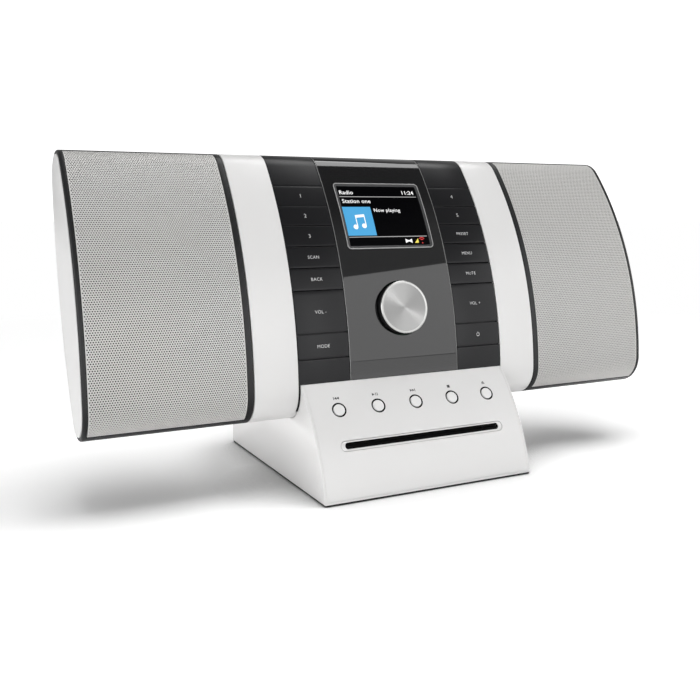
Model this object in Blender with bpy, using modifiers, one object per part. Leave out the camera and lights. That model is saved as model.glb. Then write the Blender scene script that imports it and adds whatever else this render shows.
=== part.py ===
"""Mini hifi system: a lens-section body with a speaker at each end, on a wedge base with a slot-in CD player.

Metres, +Z up. The listener looks along +Y, with +X to the right. The origin is on the floor, under the
middle of the object. Outlines seen from the side are lists of (y, z).
"""
import math

import bmesh
import bpy
from mathutils import Matrix, Vector

GAP = 0.0003              # clearance between pieces that meet
MERGE = 1e-6              # welding distance

WIDTH = 0.450
DEPTH = 0.1872
FOOT_HEIGHT = 0.0019
BASE_BOTTOM = 0.0015
WALL = 0.0025             # moulded shells
FRONT_STEPS, TOP_STEPS, REAR_STEPS, BOTTOM_STEPS = 16, 9, 8, 12     # straight steps in the arcs

# Lens section of the body: two large arcs joined by a fillet at the top and one at the bottom
FRONT_CENTRE = Vector((0.1972, 0.0642))
FRONT_RADIUS = 0.2507
REAR_CENTRE = Vector((-0.2458, 0.2244))
REAR_RADIUS = 0.2876
TOP_RADIUS = 0.0210
BOTTOM_RADIUS = 0.0227

# Base: an arc leans back from its front edge to the lip, and a ridge stands behind the body
BASE_HALF_WIDTH = 0.0820
BASE_FRONT = Vector((-DEPTH / 2, BASE_BOTTOM))
BASE_LIP = Vector((-0.0550, 0.0738))
BASE_BULGE = 0.0055
BASE_RIDGE = Vector((0.0220, 0.1115))
BASE_REAR_HEIGHT = 0.0475
SADDLE_GAP = 0.0004

# Centre unit, in half widths from the middle
UNIT_HALF = 0.1145
WINDOW_HALF = 0.0832
FASCIA_HALF = 0.0829
PANEL_HALF = 0.0442
KEY_INNER, KEY_OUTER = 0.0446, 0.0826
FASCIA_LOW, FASCIA_HIGH = 223.0, 71.0     # ends of the fascia, as angles on the bottom and top fillets
SEAM_GAP_ANGLE = 1.2
PANEL_THICKNESS = 0.0022

# Rear jack panel
JACK_HALF = (0.0460, 0.0135)
JACK_Z = 0.0260

# Keys: boundaries between them, as angles up the front arc
KEY_ANGLES = (35.37, 31.43, 27.80, 24.15, 20.50, 16.82, 9.97, 6.00)
KEY_THICKNESS = 0.0018
KEY_GAP = 0.0004
KEY_STEM = (0.006, 0.004)
FRAME_INSET, FRAME_BACK = 0.0030, 0.0045
KEY_NAMES = {
    -1: ("key_1", "key_2", "key_3", "key_scan", "key_back", "key_volume_down", "key_mode"),
    1: ("key_4", "key_5", "key_preset", "key_menu", "key_mute", "key_volume_up", "key_power"),
}
BOARD_ANGLE = 20.7
BOARD_RADIUS = 0.2345
BOARD_THICKNESS = 0.0016

# Display and knob
DISPLAY_ANGLE = 29.80
DISPLAY_SIZE = (0.0712, 0.0549)
DISPLAY_CORNER = 0.0025
KNOB_ANGLE = 13.29
KNOB_RADIUS = 0.0191
KNOB_PROUD = 0.0050
KNOB_HOLE = 0.0200

# CD player
SLOT_ANGLE = 26.15
SLOT_SIZE = (0.1235, 0.0042)
BEZEL_SIZE = (0.1297, 0.0068)
ROLLER_PLACE = (-0.068, 0.0290)            # (y, z) of its axis
BEZEL_THICKNESS = 0.0040
SPINDLE_Y = -0.016
DRIVE_RAIL_X, DRIVE_RAIL_Z = 0.024, 0.021
BUTTON_ANGLE = 35.6
BUTTON_PITCH = 0.0300
BUTTON_RADIUS = 0.0044
BUTTON_HOLE = 0.0053
BUTTON_NAMES = ("button_previous", "button_play_pause", "button_next", "button_stop", "button_eject")

# Speakers, from the centre unit outwards
SPEAKER_INNER = UNIT_HALF + GAP
GRILLE_INNER, GRILLE_OUTER = 0.1192, 0.2214
GRILLE_LOW, GRILLE_HIGH = 232.0, 104.0
GRILLE_THICKNESS = 0.0012
DRIVER_ANGLE = 18.8
DRIVER_X = (GRILLE_INNER + GRILLE_OUTER) / 2
CAP_PROUD = 0.0005          # end caps stand this far out of the black rims
CAP_INSET = 0.0027

WHITE = ((0.84, 0.84, 0.83), 0.22, 0.0)
BLACK = ((0.020, 0.020, 0.021), 0.38, 0.0)
GLOSS = ((0.012, 0.012, 0.013), 0.06, 0.0)
STEEL = ((0.56, 0.57, 0.58), 0.32, 1.0)
ALUMINIUM = ((0.80, 0.80, 0.79), 0.28, 1.0)
RUBBER = ((0.025, 0.025, 0.025), 0.75, 0.0)
BOARD = ((0.02, 0.13, 0.06), 0.45, 0.0)
PAPER = ((0.030, 0.030, 0.032), 0.80, 0.0)

for old in list(bpy.data.objects):
    bpy.data.objects.remove(old)
parts = bpy.data.collections.new("mini_hifi")
bpy.context.scene.collection.children.link(parts)


# ---- shapes ---------------------------------------------------------------------------------------

def direction(angle):
    """Unit vector at this polar angle, in degrees from +y towards +z."""
    return Vector((math.cos(math.radians(angle)), math.sin(math.radians(angle))))


def heading(start, end):
    """Polar angle from one point to another, from -90 to 270 degrees."""
    step = end - start
    return (math.degrees(math.atan2(step.y, step.x)) + 90) % 360 - 90


def arc(centre, radius, start, end, steps):
    return [centre + direction(start + (end - start) * i / steps) * radius for i in range(steps + 1)]


def fillet_centre(radius, side):
    """Centre of the circle that touches both large arcs from inside; side is 1 above and -1 below."""
    span = REAR_CENTRE - FRONT_CENTRE
    reach, other = FRONT_RADIUS - radius, REAR_RADIUS - radius
    along = (reach ** 2 - other ** 2 + span.length ** 2) / (2 * span.length)
    across = math.sqrt(reach ** 2 - along ** 2)
    unit = span.normalized()
    return FRONT_CENTRE + unit * along + Vector((unit.y, -unit.x)) * across * side


TOP_CENTRE = fillet_centre(TOP_RADIUS, 1)
BOTTOM_CENTRE = fillet_centre(BOTTOM_RADIUS, -1)
FRONT_LOW, FRONT_HIGH = heading(FRONT_CENTRE, BOTTOM_CENTRE), heading(FRONT_CENTRE, TOP_CENTRE)
REAR_HIGH, REAR_LOW = heading(REAR_CENTRE, TOP_CENTRE), heading(REAR_CENTRE, BOTTOM_CENTRE)
SEAM_ANGLE = heading(BOTTOM_CENTRE, TOP_CENTRE)
HALF_CHORD = (BASE_LIP - BASE_FRONT).length / 2
BASE_RADIUS = (HALF_CHORD ** 2 + BASE_BULGE ** 2) / (2 * BASE_BULGE)
BASE_MIDDLE_ANGLE = heading(BASE_FRONT, BASE_LIP) + 90
BASE_HALF_ANGLE = math.degrees(math.asin(HALF_CHORD / BASE_RADIUS))
BASE_CENTRE = (BASE_FRONT + BASE_LIP) / 2 - direction(BASE_MIDDLE_ANGLE) * (BASE_RADIUS - BASE_BULGE)
RIDGE_SLOPE = (BASE_RIDGE.y - BASE_REAR_HEIGHT) / (DEPTH / 2 - BASE_RIDGE.x)


def lens_outline(inset=0.0):
    return (
        arc(FRONT_CENTRE, FRONT_RADIUS - inset, FRONT_LOW, FRONT_HIGH, FRONT_STEPS)
        + arc(TOP_CENTRE, TOP_RADIUS - inset, FRONT_HIGH, REAR_HIGH, TOP_STEPS)[1:]
        + arc(REAR_CENTRE, REAR_RADIUS - inset, REAR_HIGH, REAR_LOW, REAR_STEPS)[1:]
        + arc(BOTTOM_CENTRE, BOTTOM_RADIUS - inset, REAR_LOW, FRONT_LOW - 360, BOTTOM_STEPS)[1:-1]
    )


def skin_path(inset, low, high):
    """Along the body's front, from an angle on the bottom fillet to an angle on the top fillet."""
    return (
        arc(BOTTOM_CENTRE, BOTTOM_RADIUS - inset, low, FRONT_LOW, 4)
        + arc(FRONT_CENTRE, FRONT_RADIUS - inset, FRONT_LOW, FRONT_HIGH, FRONT_STEPS)[1:]
        + arc(TOP_CENTRE, TOP_RADIUS - inset, FRONT_HIGH, high, 4)[1:]
    )


def skin_outline(outer, inner, low, high):
    return skin_path(outer, low, high) + skin_path(inner, low, high)[::-1]


def sector_outline(low, high, outer, inner, steps):
    """Slab of the front arc between two elevations, in degrees, and two radii."""
    return (
        arc(FRONT_CENTRE, outer, 180 - low, 180 - high, steps)
        + arc(FRONT_CENTRE, inner, 180 - high, 180 - low, steps)
    )


def rounded_rectangle(width, height, radius, steps=4):
    corners = ((1, 1, 0), (-1, 1, 90), (-1, -1, 180), (1, -1, 270))
    outline = []
    for side_x, side_y, start in corners:
        centre = Vector((side_x * (width / 2 - radius), side_y * (height / 2 - radius)))
        outline += arc(centre, radius, start, start + 90, steps)
    return outline


def face(centre, radius, elevation, x=0.0):
    """Placement on an arc of the front: local X is +X, local Y runs up the slope, local Z points outwards."""
    point = centre + direction(180 - elevation) * radius
    turn = Matrix.Rotation(math.radians(90 - elevation), 4, "X")
    return Matrix.Translation((x, point.x, point.y)) @ turn


def at(x, y, z):
    return Matrix.Translation((x, y, z))


ALONG_X = Matrix(((0, 0, 1, 0), (1, 0, 0, 0), (0, 1, 0, 0), (0, 0, 0, 1)))      # local Z becomes +X
ALONG_Y = Matrix.Rotation(math.radians(-90), 4, "X")                              # local Z becomes +Y


# ---- objects --------------------------------------------------------------------------------------

def new_object(mesh, place, name="shape"):
    piece = bpy.data.objects.new(name, mesh)
    parts.objects.link(piece)
    piece.matrix_world = place
    bpy.context.view_layer.update()
    return piece


def evaluated_mesh(piece, turn_outwards=False):
    """The piece's mesh after its modifiers, welded; a hollow one keeps its normals, so it isn't turned."""
    mesh = bpy.data.meshes.new_from_object(piece.evaluated_get(bpy.context.evaluated_depsgraph_get()))
    shape = bmesh.new()
    shape.from_mesh(mesh)
    bmesh.ops.remove_doubles(shape, verts=shape.verts, dist=MERGE)
    if turn_outwards:
        bmesh.ops.recalc_face_normals(shape, faces=shape.faces)
    shape.to_mesh(mesh)
    shape.free()
    return mesh


def prism(outline, thickness, place):
    """Flat outline of (local x, local y), half its thickness to each side of the placement's plane."""
    curve = bpy.data.curves.new("outline", "CURVE")
    curve.dimensions = "2D"
    curve.fill_mode = "BOTH"
    curve.extrude = thickness / 2
    spline = curve.splines.new("POLY")
    spline.points.add(len(outline) - 1)
    for point, (u, v) in zip(spline.points, outline):
        point.co = (u, v, 0, 1)
    spline.use_cyclic_u = True
    guide = new_object(curve, place)
    solid = new_object(evaluated_mesh(guide, turn_outwards=True), place)
    bpy.data.objects.remove(guide)
    return solid


def side_prism(outline, x_from, x_to):
    """Outline seen from the side, carried from one x to another."""
    return prism(outline, abs(x_to - x_from), at((x_from + x_to) / 2, 0, 0) @ ALONG_X)


def box(low, high, place=Matrix()):
    """Box between two corners of the placement's own axes."""
    size = [b - a for a, b in zip(low, high)]
    middle = [(a + b) / 2 for a, b in zip(low, high)]
    shape = bmesh.new()
    bmesh.ops.create_cube(shape, size=1.0, matrix=at(*middle) @ Matrix.Diagonal((*size, 1)))
    mesh = bpy.data.meshes.new("box")
    shape.to_mesh(mesh)
    shape.free()
    return new_object(mesh, place)


def cylinder(radius, low, high, place, segments=32):
    """Round bar along the placement's local Z, from low to high."""
    shape = bmesh.new()
    bmesh.ops.create_cone(
        shape, cap_ends=True, segments=segments, radius1=radius, radius2=radius,
        depth=high - low, matrix=at(0, 0, (low + high) / 2),
    )
    mesh = bpy.data.meshes.new("cylinder")
    shape.to_mesh(mesh)
    shape.free()
    return new_object(mesh, place)


def turned(profile, place, segments=28, closed=False):
    """Solid of revolution about local Z from (radius, height) points, top to bottom on the outer side."""
    mesh = bpy.data.meshes.new("profile")
    last = len(profile) if closed else len(profile) - 1
    edges = [(i, (i + 1) % len(profile)) for i in range(last)]
    mesh.from_pydata([(radius, 0, height) for radius, height in profile], edges, [])
    piece = new_object(mesh, place)
    screw = piece.modifiers.new("turn", "SCREW")
    screw.axis = "Z"
    screw.steps = segments
    screw.render_steps = segments
    screw.use_merge_vertices = True
    screw.merge_threshold = MERGE
    piece.data = evaluated_mesh(piece, turn_outwards=True)
    piece.modifiers.clear()
    return piece


def combine(piece, other, operation):
    boolean = piece.modifiers.new(operation.lower(), "BOOLEAN")
    boolean.operation = operation
    boolean.object = other
    boolean.solver = "EXACT"
    bpy.context.view_layer.update()
    piece.data = evaluated_mesh(piece)
    piece.modifiers.clear()
    bpy.data.objects.remove(other)
    return piece


def cut(piece, *cutters):
    for cutter in cutters:
        combine(piece, cutter, "DIFFERENCE")
    return piece


def join(piece, *others):
    for other in others:
        combine(piece, other, "UNION")
    return piece


def finish(piece, name, look, smooth=True):
    """Name the piece and give it a material of its own."""
    colour, roughness, metallic = look
    piece.name = name
    piece.data.name = name
    material = bpy.data.materials.new(name)
    material.use_nodes = True
    shader = material.node_tree.nodes["Principled BSDF"]
    shader.inputs["Base Color"].default_value = (*colour, 1)
    shader.inputs["Roughness"].default_value = roughness
    shader.inputs["Metallic"].default_value = metallic
    piece.data.materials.clear()
    piece.data.materials.append(material)
    if smooth:
        piece.data.shade_smooth()
        piece.data.set_sharp_from_angle(angle=math.radians(30))
    return piece


def move_origin(piece, place):
    """Put the object's origin at this placement and leave its shape where it is."""
    piece.data.transform(place.inverted() @ piece.matrix_world)
    piece.matrix_world = place
    return piece


# ---- base -----------------------------------------------------------------------------------------

def base_block_outline(inset, bottom_angle):
    """Side view of the base before the body's saddle is cut, with its walls moved in by inset."""
    top_angle = BASE_MIDDLE_ANGLE - BASE_HALF_ANGLE
    front = arc(BASE_CENTRE, BASE_RADIUS - inset, bottom_angle, top_angle, 14)
    drop = inset * math.hypot(1, RIDGE_SLOPE)
    rear = DEPTH / 2 - inset
    inside = 0.0                      # a y within the body's section, where the saddle cut removes all
    ridge_top = BASE_RIDGE.y if inset == 0 else BASE_RIDGE.y + RIDGE_SLOPE * BASE_RIDGE.x - drop
    outline = front + [Vector((inside, front[-1].y)), Vector((inside, ridge_top))]
    if inset == 0:
        outline.append(BASE_RIDGE)
    return outline + [Vector((rear, BASE_REAR_HEIGHT - drop + RIDGE_SLOPE * inset)), Vector((rear, front[0].y))]


def base_shell():
    bottom_angle = BASE_MIDDLE_ANGLE + BASE_HALF_ANGLE
    block = side_prism(base_block_outline(0, bottom_angle), -BASE_HALF_WIDTH, BASE_HALF_WIDTH)
    cut(block, side_prism(lens_outline(-SADDLE_GAP), -0.1, 0.1))
    inner_half = BASE_HALF_WIDTH - WALL
    cavity = side_prism(base_block_outline(WALL, bottom_angle + 5), -inner_half, inner_half)
    cut(cavity, side_prism(lens_outline(-SADDLE_GAP - WALL), -0.1, 0.1))
    cut(block, cavity)
    hole = rounded_rectangle(BEZEL_SIZE[0] + 2 * GAP, BEZEL_SIZE[1] + 2 * GAP, BEZEL_SIZE[1] / 2 + GAP)
    cut(block, prism(hole, 0.03, face(BASE_CENTRE, BASE_RADIUS, SLOT_ANGLE)))
    for place in button_places():
        cut(block, cylinder(BUTTON_HOLE, -0.008, 0.008, place, 20))
    cut(block, box((-JACK_HALF[0] - GAP, 0.085, JACK_Z - JACK_HALF[1] - GAP),
                   (JACK_HALF[0] + GAP, 0.1, JACK_Z + JACK_HALF[1] + GAP)))
    finish(block, "base_shell", WHITE)


def base_plate():
    plate = box((-0.0793, -0.0900, 0.0022), (0.0793, 0.0910, 0.0042))
    for x in (-0.062, 0.062):
        for y in (-0.055, 0.052):
            join(plate, cylinder(0.0035, 0.0040, 0.0097, at(x, y, 0), 16))
    finish(plate, "base_plate", BLACK)


def feet():
    foot_x, foot_y = 0.068, 0.078
    places = (("front_left", -1, -1), ("front_right", 1, -1), ("rear_left", -1, 1), ("rear_right", 1, 1))
    profile = ((0, FOOT_HEIGHT), (0.0065, FOOT_HEIGHT), (0.0065, 0.0005), (0.0060, 0), (0, 0))
    for corner, side_x, side_y in places:
        foot = turned(profile, at(side_x * foot_x, side_y * foot_y, 0), 16)
        finish(foot, "foot_" + corner, RUBBER)


def jack_panel():
    """Tray let into the rear wall: a mains adapter inlet, three small jacks and an aerial socket."""
    half_x, half_z = JACK_HALF
    rear, floor, back = DEPTH / 2 - 0.0004, 0.0860, 0.0840
    tray = box((-half_x, back, JACK_Z - half_z), (half_x, rear, JACK_Z + half_z))
    lip = 0.0016
    cut(tray, box((lip - half_x, floor, JACK_Z + lip - half_z), (half_x - lip, 0.1, JACK_Z + half_z - lip)))
    join(tray, box((-0.038, 0.0720, JACK_Z - 0.007), (0.022, 0.0845, JACK_Z + 0.007)))
    inlet_x, aerial_x = -0.030, 0.033
    cut(tray, cylinder(0.0031, 0.0750, 0.1, at(inlet_x, 0, JACK_Z) @ ALONG_Y, 20))
    join(tray, cylinder(0.0010, 0.0740, 0.0850, at(inlet_x, 0, JACK_Z) @ ALONG_Y, 10))
    for x in (-0.014, 0.001, 0.016):
        cut(tray, cylinder(0.0018, 0.0740, 0.1, at(x, 0, JACK_Z) @ ALONG_Y, 16))
    join(tray, cylinder(0.0047, 0.0800, 0.0925, at(aerial_x, 0, JACK_Z) @ ALONG_Y, 24))
    cut(tray, cylinder(0.0018, 0.0830, 0.1, at(aerial_x, 0, JACK_Z) @ ALONG_Y, 12))
    finish(tray, "jack_panel", BLACK)


# ---- CD player ------------------------------------------------------------------------------------

def slot_bezel():
    """Oval trim plate on the sloping front, with the slot cut level through it."""
    place = face(BASE_CENTRE, BASE_RADIUS, SLOT_ANGLE)
    outline = rounded_rectangle(*BEZEL_SIZE, BEZEL_SIZE[1] / 2)
    bezel = prism(outline, BEZEL_THICKNESS, place @ at(0, 0, -BEZEL_THICKNESS / 2))
    slot = rounded_rectangle(*SLOT_SIZE, SLOT_SIZE[1] / 2)
    level = Matrix.Rotation(math.radians(90), 4, "X")
    cut(bezel, prism(slot, 0.04, at(0, place.translation.y, place.translation.z) @ level))
    finish(bezel, "slot_bezel", WHITE)


def cd_chassis():
    """Bent steel tray that carries the drive: two side walls, a low rear wall and four rod brackets."""
    sheet, half, floor, front, rear = 0.0012, 0.070, 0.0100, -0.072, 0.062
    chassis = box((-half, front + 0.008, floor), (half, rear, floor + sheet))
    wall = [Vector(p) for p in ((front, floor), (front, 0.034), (-0.060, 0.042), (rear, 0.042), (rear, floor))]
    for side in (-1, 1):
        join(chassis, side_prism(wall, side * half, side * (half - sheet)))
        bore = at(side * half, *ROLLER_PLACE) @ ALONG_X
        cut(chassis, cylinder(0.0018, -0.004, 0.004, bore, 16))
    join(chassis, box((-half + 0.0005, rear - sheet, floor), (half - 0.0005, rear, 0.030)))
    for side in (-1, 1):
        x = side * DRIVE_RAIL_X
        for y_low, y_high in ((-0.0090, -0.0050), (0.0570, 0.0600)):
            join(chassis, box((x - 0.004, y_low, floor + sheet / 2), (x + 0.004, y_high, 0.0250)))
        cut(chassis, cylinder(0.0021, -0.012, 0.0605, at(x, 0, DRIVE_RAIL_Z) @ ALONG_Y, 16))
    finish(chassis, "cd_chassis", STEEL)


def cd_drive():
    spindle = at(0, SPINDLE_Y, 0)
    motor = cylinder(0.0130, 0.0115, 0.0260, spindle, 32)
    cut(motor, cylinder(0.0018, 0.0180, 0.03, spindle, 16))
    finish(motor, "cd_spindle_motor", STEEL)
    platter = (
        (0, 0.0332), (0.0050, 0.0332), (0.0074, 0.0316), (0.0074, 0.0308), (0.0150, 0.0308), (0.0150, 0.0280),
        (0.0040, 0.0280), (0.0040, 0.0264), (0.0015, 0.0264), (0.0015, 0.0185), (0, 0.0185),
    )
    finish(turned(platter, spindle, 24), "cd_turntable", BLACK)
    roller = ((0, 0.0715), (0.0015, 0.0715), (0.0015, 0.0550), (0.0040, 0.0550))
    roller += tuple((radius, -height) for radius, height in reversed(roller))
    finish(turned(roller, at(0, *ROLLER_PLACE) @ ALONG_X, 16), "cd_feed_roller", RUBBER)
    sled = box((-0.0275, -0.0024, 0.0150), (0.0275, 0.0220, 0.0270))
    join(sled, cylinder(0.0050, 0.0260, 0.0310, at(0, 0.0080, 0), 24))
    for side in (-1, 1):
        cut(sled, cylinder(0.0021, -0.02, 0.04, at(side * DRIVE_RAIL_X, 0, DRIVE_RAIL_Z) @ ALONG_Y, 16))
    finish(move_origin(sled, at(0, 0.0080, DRIVE_RAIL_Z)), "cd_pickup", BLACK)
    rail = at(-DRIVE_RAIL_X, 0, DRIVE_RAIL_Z) @ ALONG_Y
    finish(cylinder(0.0018, -0.0085, 0.0598, rail, 16), "cd_guide_rod", STEEL)
    screw = ((0, 0.0598), (0.0018, 0.0598), (0.0018, -0.0105), (0.0060, -0.0105), (0.0060, -0.0130), (0, -0.0130))
    finish(turned(screw, at(DRIVE_RAIL_X, 0, DRIVE_RAIL_Z) @ ALONG_Y, 20), "cd_lead_screw", STEEL)


def button_places():
    return [face(BASE_CENTRE, BASE_RADIUS, BUTTON_ANGLE, (i - 2) * BUTTON_PITCH) for i in range(5)]


def cd_buttons():
    """Round caps with a flange behind the wall and a stem down to the switch."""
    profile = (
        (0, 0.0004), (BUTTON_RADIUS - 0.0005, 0.0004), (BUTTON_RADIUS, -0.0001), (BUTTON_RADIUS, -0.0031),
        (0.0064, -0.0031), (0.0064, -0.0041), (0.0020, -0.0041), (0.0020, -0.0078), (0, -0.0078),
    )
    for name, place in zip(BUTTON_NAMES, button_places()):
        finish(turned(profile, place, 20), name, WHITE)
    middle = face(BASE_CENTRE, BASE_RADIUS, BUTTON_ANGLE)
    board = box((-0.068, -0.007, -0.0121), (0.068, 0.007, -0.0105), middle)
    for place in button_places():
        join(board, box((-0.003, -0.003, -0.0110), (0.003, 0.003, -0.0091), place))
    finish(board, "cd_button_board", BOARD)


# ---- centre unit ----------------------------------------------------------------------------------

def hollow_body():
    body = side_prism(lens_outline(), -UNIT_HALF, UNIT_HALF)
    inner_half = UNIT_HALF - WALL
    return cut(body, side_prism(lens_outline(WALL), -inner_half, inner_half))


def half_space(sign):
    """Large block on one side of the seam plane, which runs through both fillet centres."""
    middle = (TOP_CENTRE + BOTTOM_CENTRE) / 2
    place = at(0, middle.x, middle.y) @ Matrix.Rotation(math.radians(SEAM_ANGLE - 90), 4, "X")
    edge, far = GAP / 2, 0.3
    low, high = (-far, -edge) if sign < 0 else (edge, far)
    return box((-far, low, -far), (far, high, far), place)


def housings():
    """Front housing with the two white bands and the fascia's window, and the plain rear housing."""
    front = combine(hollow_body(), half_space(-1), "INTERSECT")
    far = 0.08
    window = [
        TOP_CENTRE, TOP_CENTRE + direction(SEAM_ANGLE - 2) * far, Vector((-0.15, 0.32)), Vector((-0.15, 0.02)),
        BOTTOM_CENTRE + direction(FASCIA_LOW + SEAM_GAP_ANGLE) * far, BOTTOM_CENTRE,
    ]
    cut(front, side_prism(window, -WINDOW_HALF, WINDOW_HALF))
    brace = TOP_CENTRE + direction(160) * 0.007
    join(front, box((-0.1135, brace.x - 0.004, brace.y - 0.002), (0.1135, brace.x + 0.004, brace.y + 0.002)))
    finish(front, "front_housing", WHITE)
    rear = combine(hollow_body(), half_space(1), "INTERSECT")
    finish(rear, "rear_housing", WHITE)


def key_frame_outline():
    """Blank segments flush with the body at both ends, and between them the plate behind the keys."""
    top_key, last_key = 180 - KEY_ANGLES[0], 180 - KEY_ANGLES[-1]
    outer = (
        arc(BOTTOM_CENTRE, BOTTOM_RADIUS, FASCIA_LOW, FRONT_LOW, 4)
        + arc(FRONT_CENTRE, FRONT_RADIUS, FRONT_LOW, last_key, 2)[1:]
        + arc(FRONT_CENTRE, FRONT_RADIUS - FRAME_INSET, last_key, top_key, 14)
        + arc(FRONT_CENTRE, FRONT_RADIUS, top_key, FRONT_HIGH, 4)
        + arc(TOP_CENTRE, TOP_RADIUS, FRONT_HIGH, FASCIA_HIGH, 5)[1:]
    )
    return outer + skin_path(FRAME_BACK, FASCIA_LOW, FASCIA_HIGH)[::-1]


def key_spans():
    """Low and high edge of each key, top key first, with the gap taken off."""
    half_gap = math.degrees(KEY_GAP / 2 / FRONT_RADIUS)
    return [(low + half_gap, high - half_gap) for high, low in zip(KEY_ANGLES, KEY_ANGLES[1:])]


def fascia():
    middle_x = (KEY_INNER + KEY_OUTER) / 2
    for side, name in ((-1, "left_key_frame"), (1, "right_key_frame")):
        frame = side_prism(key_frame_outline(), side * KEY_INNER, side * FASCIA_HALF)
        for low, high in key_spans():
            place = face(FRONT_CENTRE, FRONT_RADIUS, (low + high) / 2, side * middle_x)
            half_x, half_y = KEY_STEM[0] / 2 + KEY_GAP, KEY_STEM[1] / 2 + KEY_GAP
            cut(frame, box((-half_x, -half_y, -0.008), (half_x, half_y, 0.002), place))
        finish(frame, name, BLACK)
    panel = side_prism(skin_outline(0, PANEL_THICKNESS, FASCIA_LOW, FASCIA_HIGH), -PANEL_HALF, PANEL_HALF)
    window = rounded_rectangle(*(size + 2 * GAP for size in DISPLAY_SIZE), DISPLAY_CORNER + GAP)
    cut(panel, prism(window, 0.02, face(FRONT_CENTRE, FRONT_RADIUS, DISPLAY_ANGLE)))
    cut(panel, cylinder(KNOB_HOLE, -0.01, 0.01, face(FRONT_CENTRE, FRONT_RADIUS, KNOB_ANGLE), 40))
    finish(panel, "centre_panel", GLOSS)


def keys():
    """Arc slabs flush with the body, each with a stem that ends just above the flat key board."""
    middle_x = (KEY_INNER + KEY_OUTER) / 2
    switch_gap = 0.0015
    for side, names in KEY_NAMES.items():
        for name, (low, high) in zip(names, key_spans()):
            angle = (low + high) / 2
            steps = max(2, round((high - low) / 1.8))
            slab = sector_outline(low, high, FRONT_RADIUS, FRONT_RADIUS - KEY_THICKNESS, steps)
            key = side_prism(slab, side * KEY_INNER, side * KEY_OUTER)
            place = face(FRONT_CENTRE, FRONT_RADIUS, angle, side * middle_x)
            board = BOARD_RADIUS / math.cos(math.radians(angle - BOARD_ANGLE))
            tip = board + switch_gap - FRONT_RADIUS
            half_x, half_y = KEY_STEM[0] / 2, KEY_STEM[1] / 2
            join(key, box((-half_x, -half_y, tip), (half_x, half_y, -KEY_THICKNESS / 2), place))
            finish(move_origin(key, place), name, BLACK)


def display():
    reach = math.degrees(DISPLAY_SIZE[1] / 2 / FRONT_RADIUS) + 1
    outer, inner = FRONT_RADIUS - 0.0002, FRONT_RADIUS - 0.0018
    slab = sector_outline(DISPLAY_ANGLE - reach, DISPLAY_ANGLE + reach, outer, inner, 10)
    lens = side_prism(slab, -DISPLAY_SIZE[0] / 2 - 0.001, DISPLAY_SIZE[0] / 2 + 0.001)
    place = face(FRONT_CENTRE, FRONT_RADIUS, DISPLAY_ANGLE)
    combine(lens, prism(rounded_rectangle(*DISPLAY_SIZE, DISPLAY_CORNER), 0.02, place), "INTERSECT")
    finish(lens, "display_lens", GLOSS)
    module = box((-0.0355, -0.0260, -0.0072), (0.0355, 0.0260, -0.0042), place)
    finish(module, "display_module", BLACK)


def knob():
    """Aluminium cap on a black skirt, on the shaft of a push encoder."""
    place = face(FRONT_CENTRE, FRONT_RADIUS, KNOB_ANGLE)
    top, under = KNOB_PROUD, 0.0022
    cap = (
        (0, top), (KNOB_RADIUS - 0.0008, top), (KNOB_RADIUS, top - 0.0008), (KNOB_RADIUS, under), (0, under),
    )
    finish(turned(cap, place, 40), "knob_cap", ALUMINIUM)
    skirt_top, skirt_radius = under - GAP, KNOB_RADIUS - 0.0004
    skirt = (
        (0, skirt_top), (skirt_radius, skirt_top), (skirt_radius, -0.0035), (skirt_radius - 0.0015, -0.0035),
        (skirt_radius - 0.0015, 0), (0.0055, 0), (0.0055, -0.0062), (0.0033, -0.0062), (0.0033, 0), (0, 0),
    )
    finish(turned(skirt, place, 32), "knob_skirt", BLACK)
    shaft = ((0, -GAP), (0.0030, -GAP), (0.0030, -0.0120), (0, -0.0120))
    finish(turned(shaft, place, 16), "encoder_shaft", STEEL)
    rotor = ((0.0033, -0.0070), (0.0047, -0.0070), (0.0047, -0.0116), (0.0033, -0.0116))
    finish(turned(rotor, place, 16, closed=True), "encoder_rotor", STEEL)
    body = box((-0.007, -0.007, -0.0131), (0.007, 0.007, -0.0071), place)
    cut(body, cylinder(0.0050, -0.0119, 0.01, place, 16))
    cut(body, cylinder(0.0034, -0.0127, 0.01, place, 16))
    finish(body, "encoder_body", STEEL)


def boards():
    place = face(FRONT_CENTRE, BOARD_RADIUS, BOARD_ANGLE)
    finish(box((-0.078, -0.066, -BOARD_THICKNESS), (0.078, 0.066, 0), place), "key_board", BOARD)
    middle = (TOP_CENTRE + BOTTOM_CENTRE) / 2
    rear = at(0, middle.x, middle.y) @ Matrix.Rotation(math.radians(SEAM_ANGLE - 90), 4, "X")
    board = box((-0.080, 0.0100, -0.050), (0.080, 0.0116, 0.050), rear)
    join(board, box((-0.055, -0.006, -0.020), (-0.015, 0.011, 0.030), rear))
    for x in (0.010, 0.028, 0.046):
        join(board, cylinder(0.0065, -0.006, 0.011, rear @ at(x, 0, 0.010) @ ALONG_Y, 20))
    finish(board, "main_board", BOARD)


# ---- speakers -------------------------------------------------------------------------------------

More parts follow.
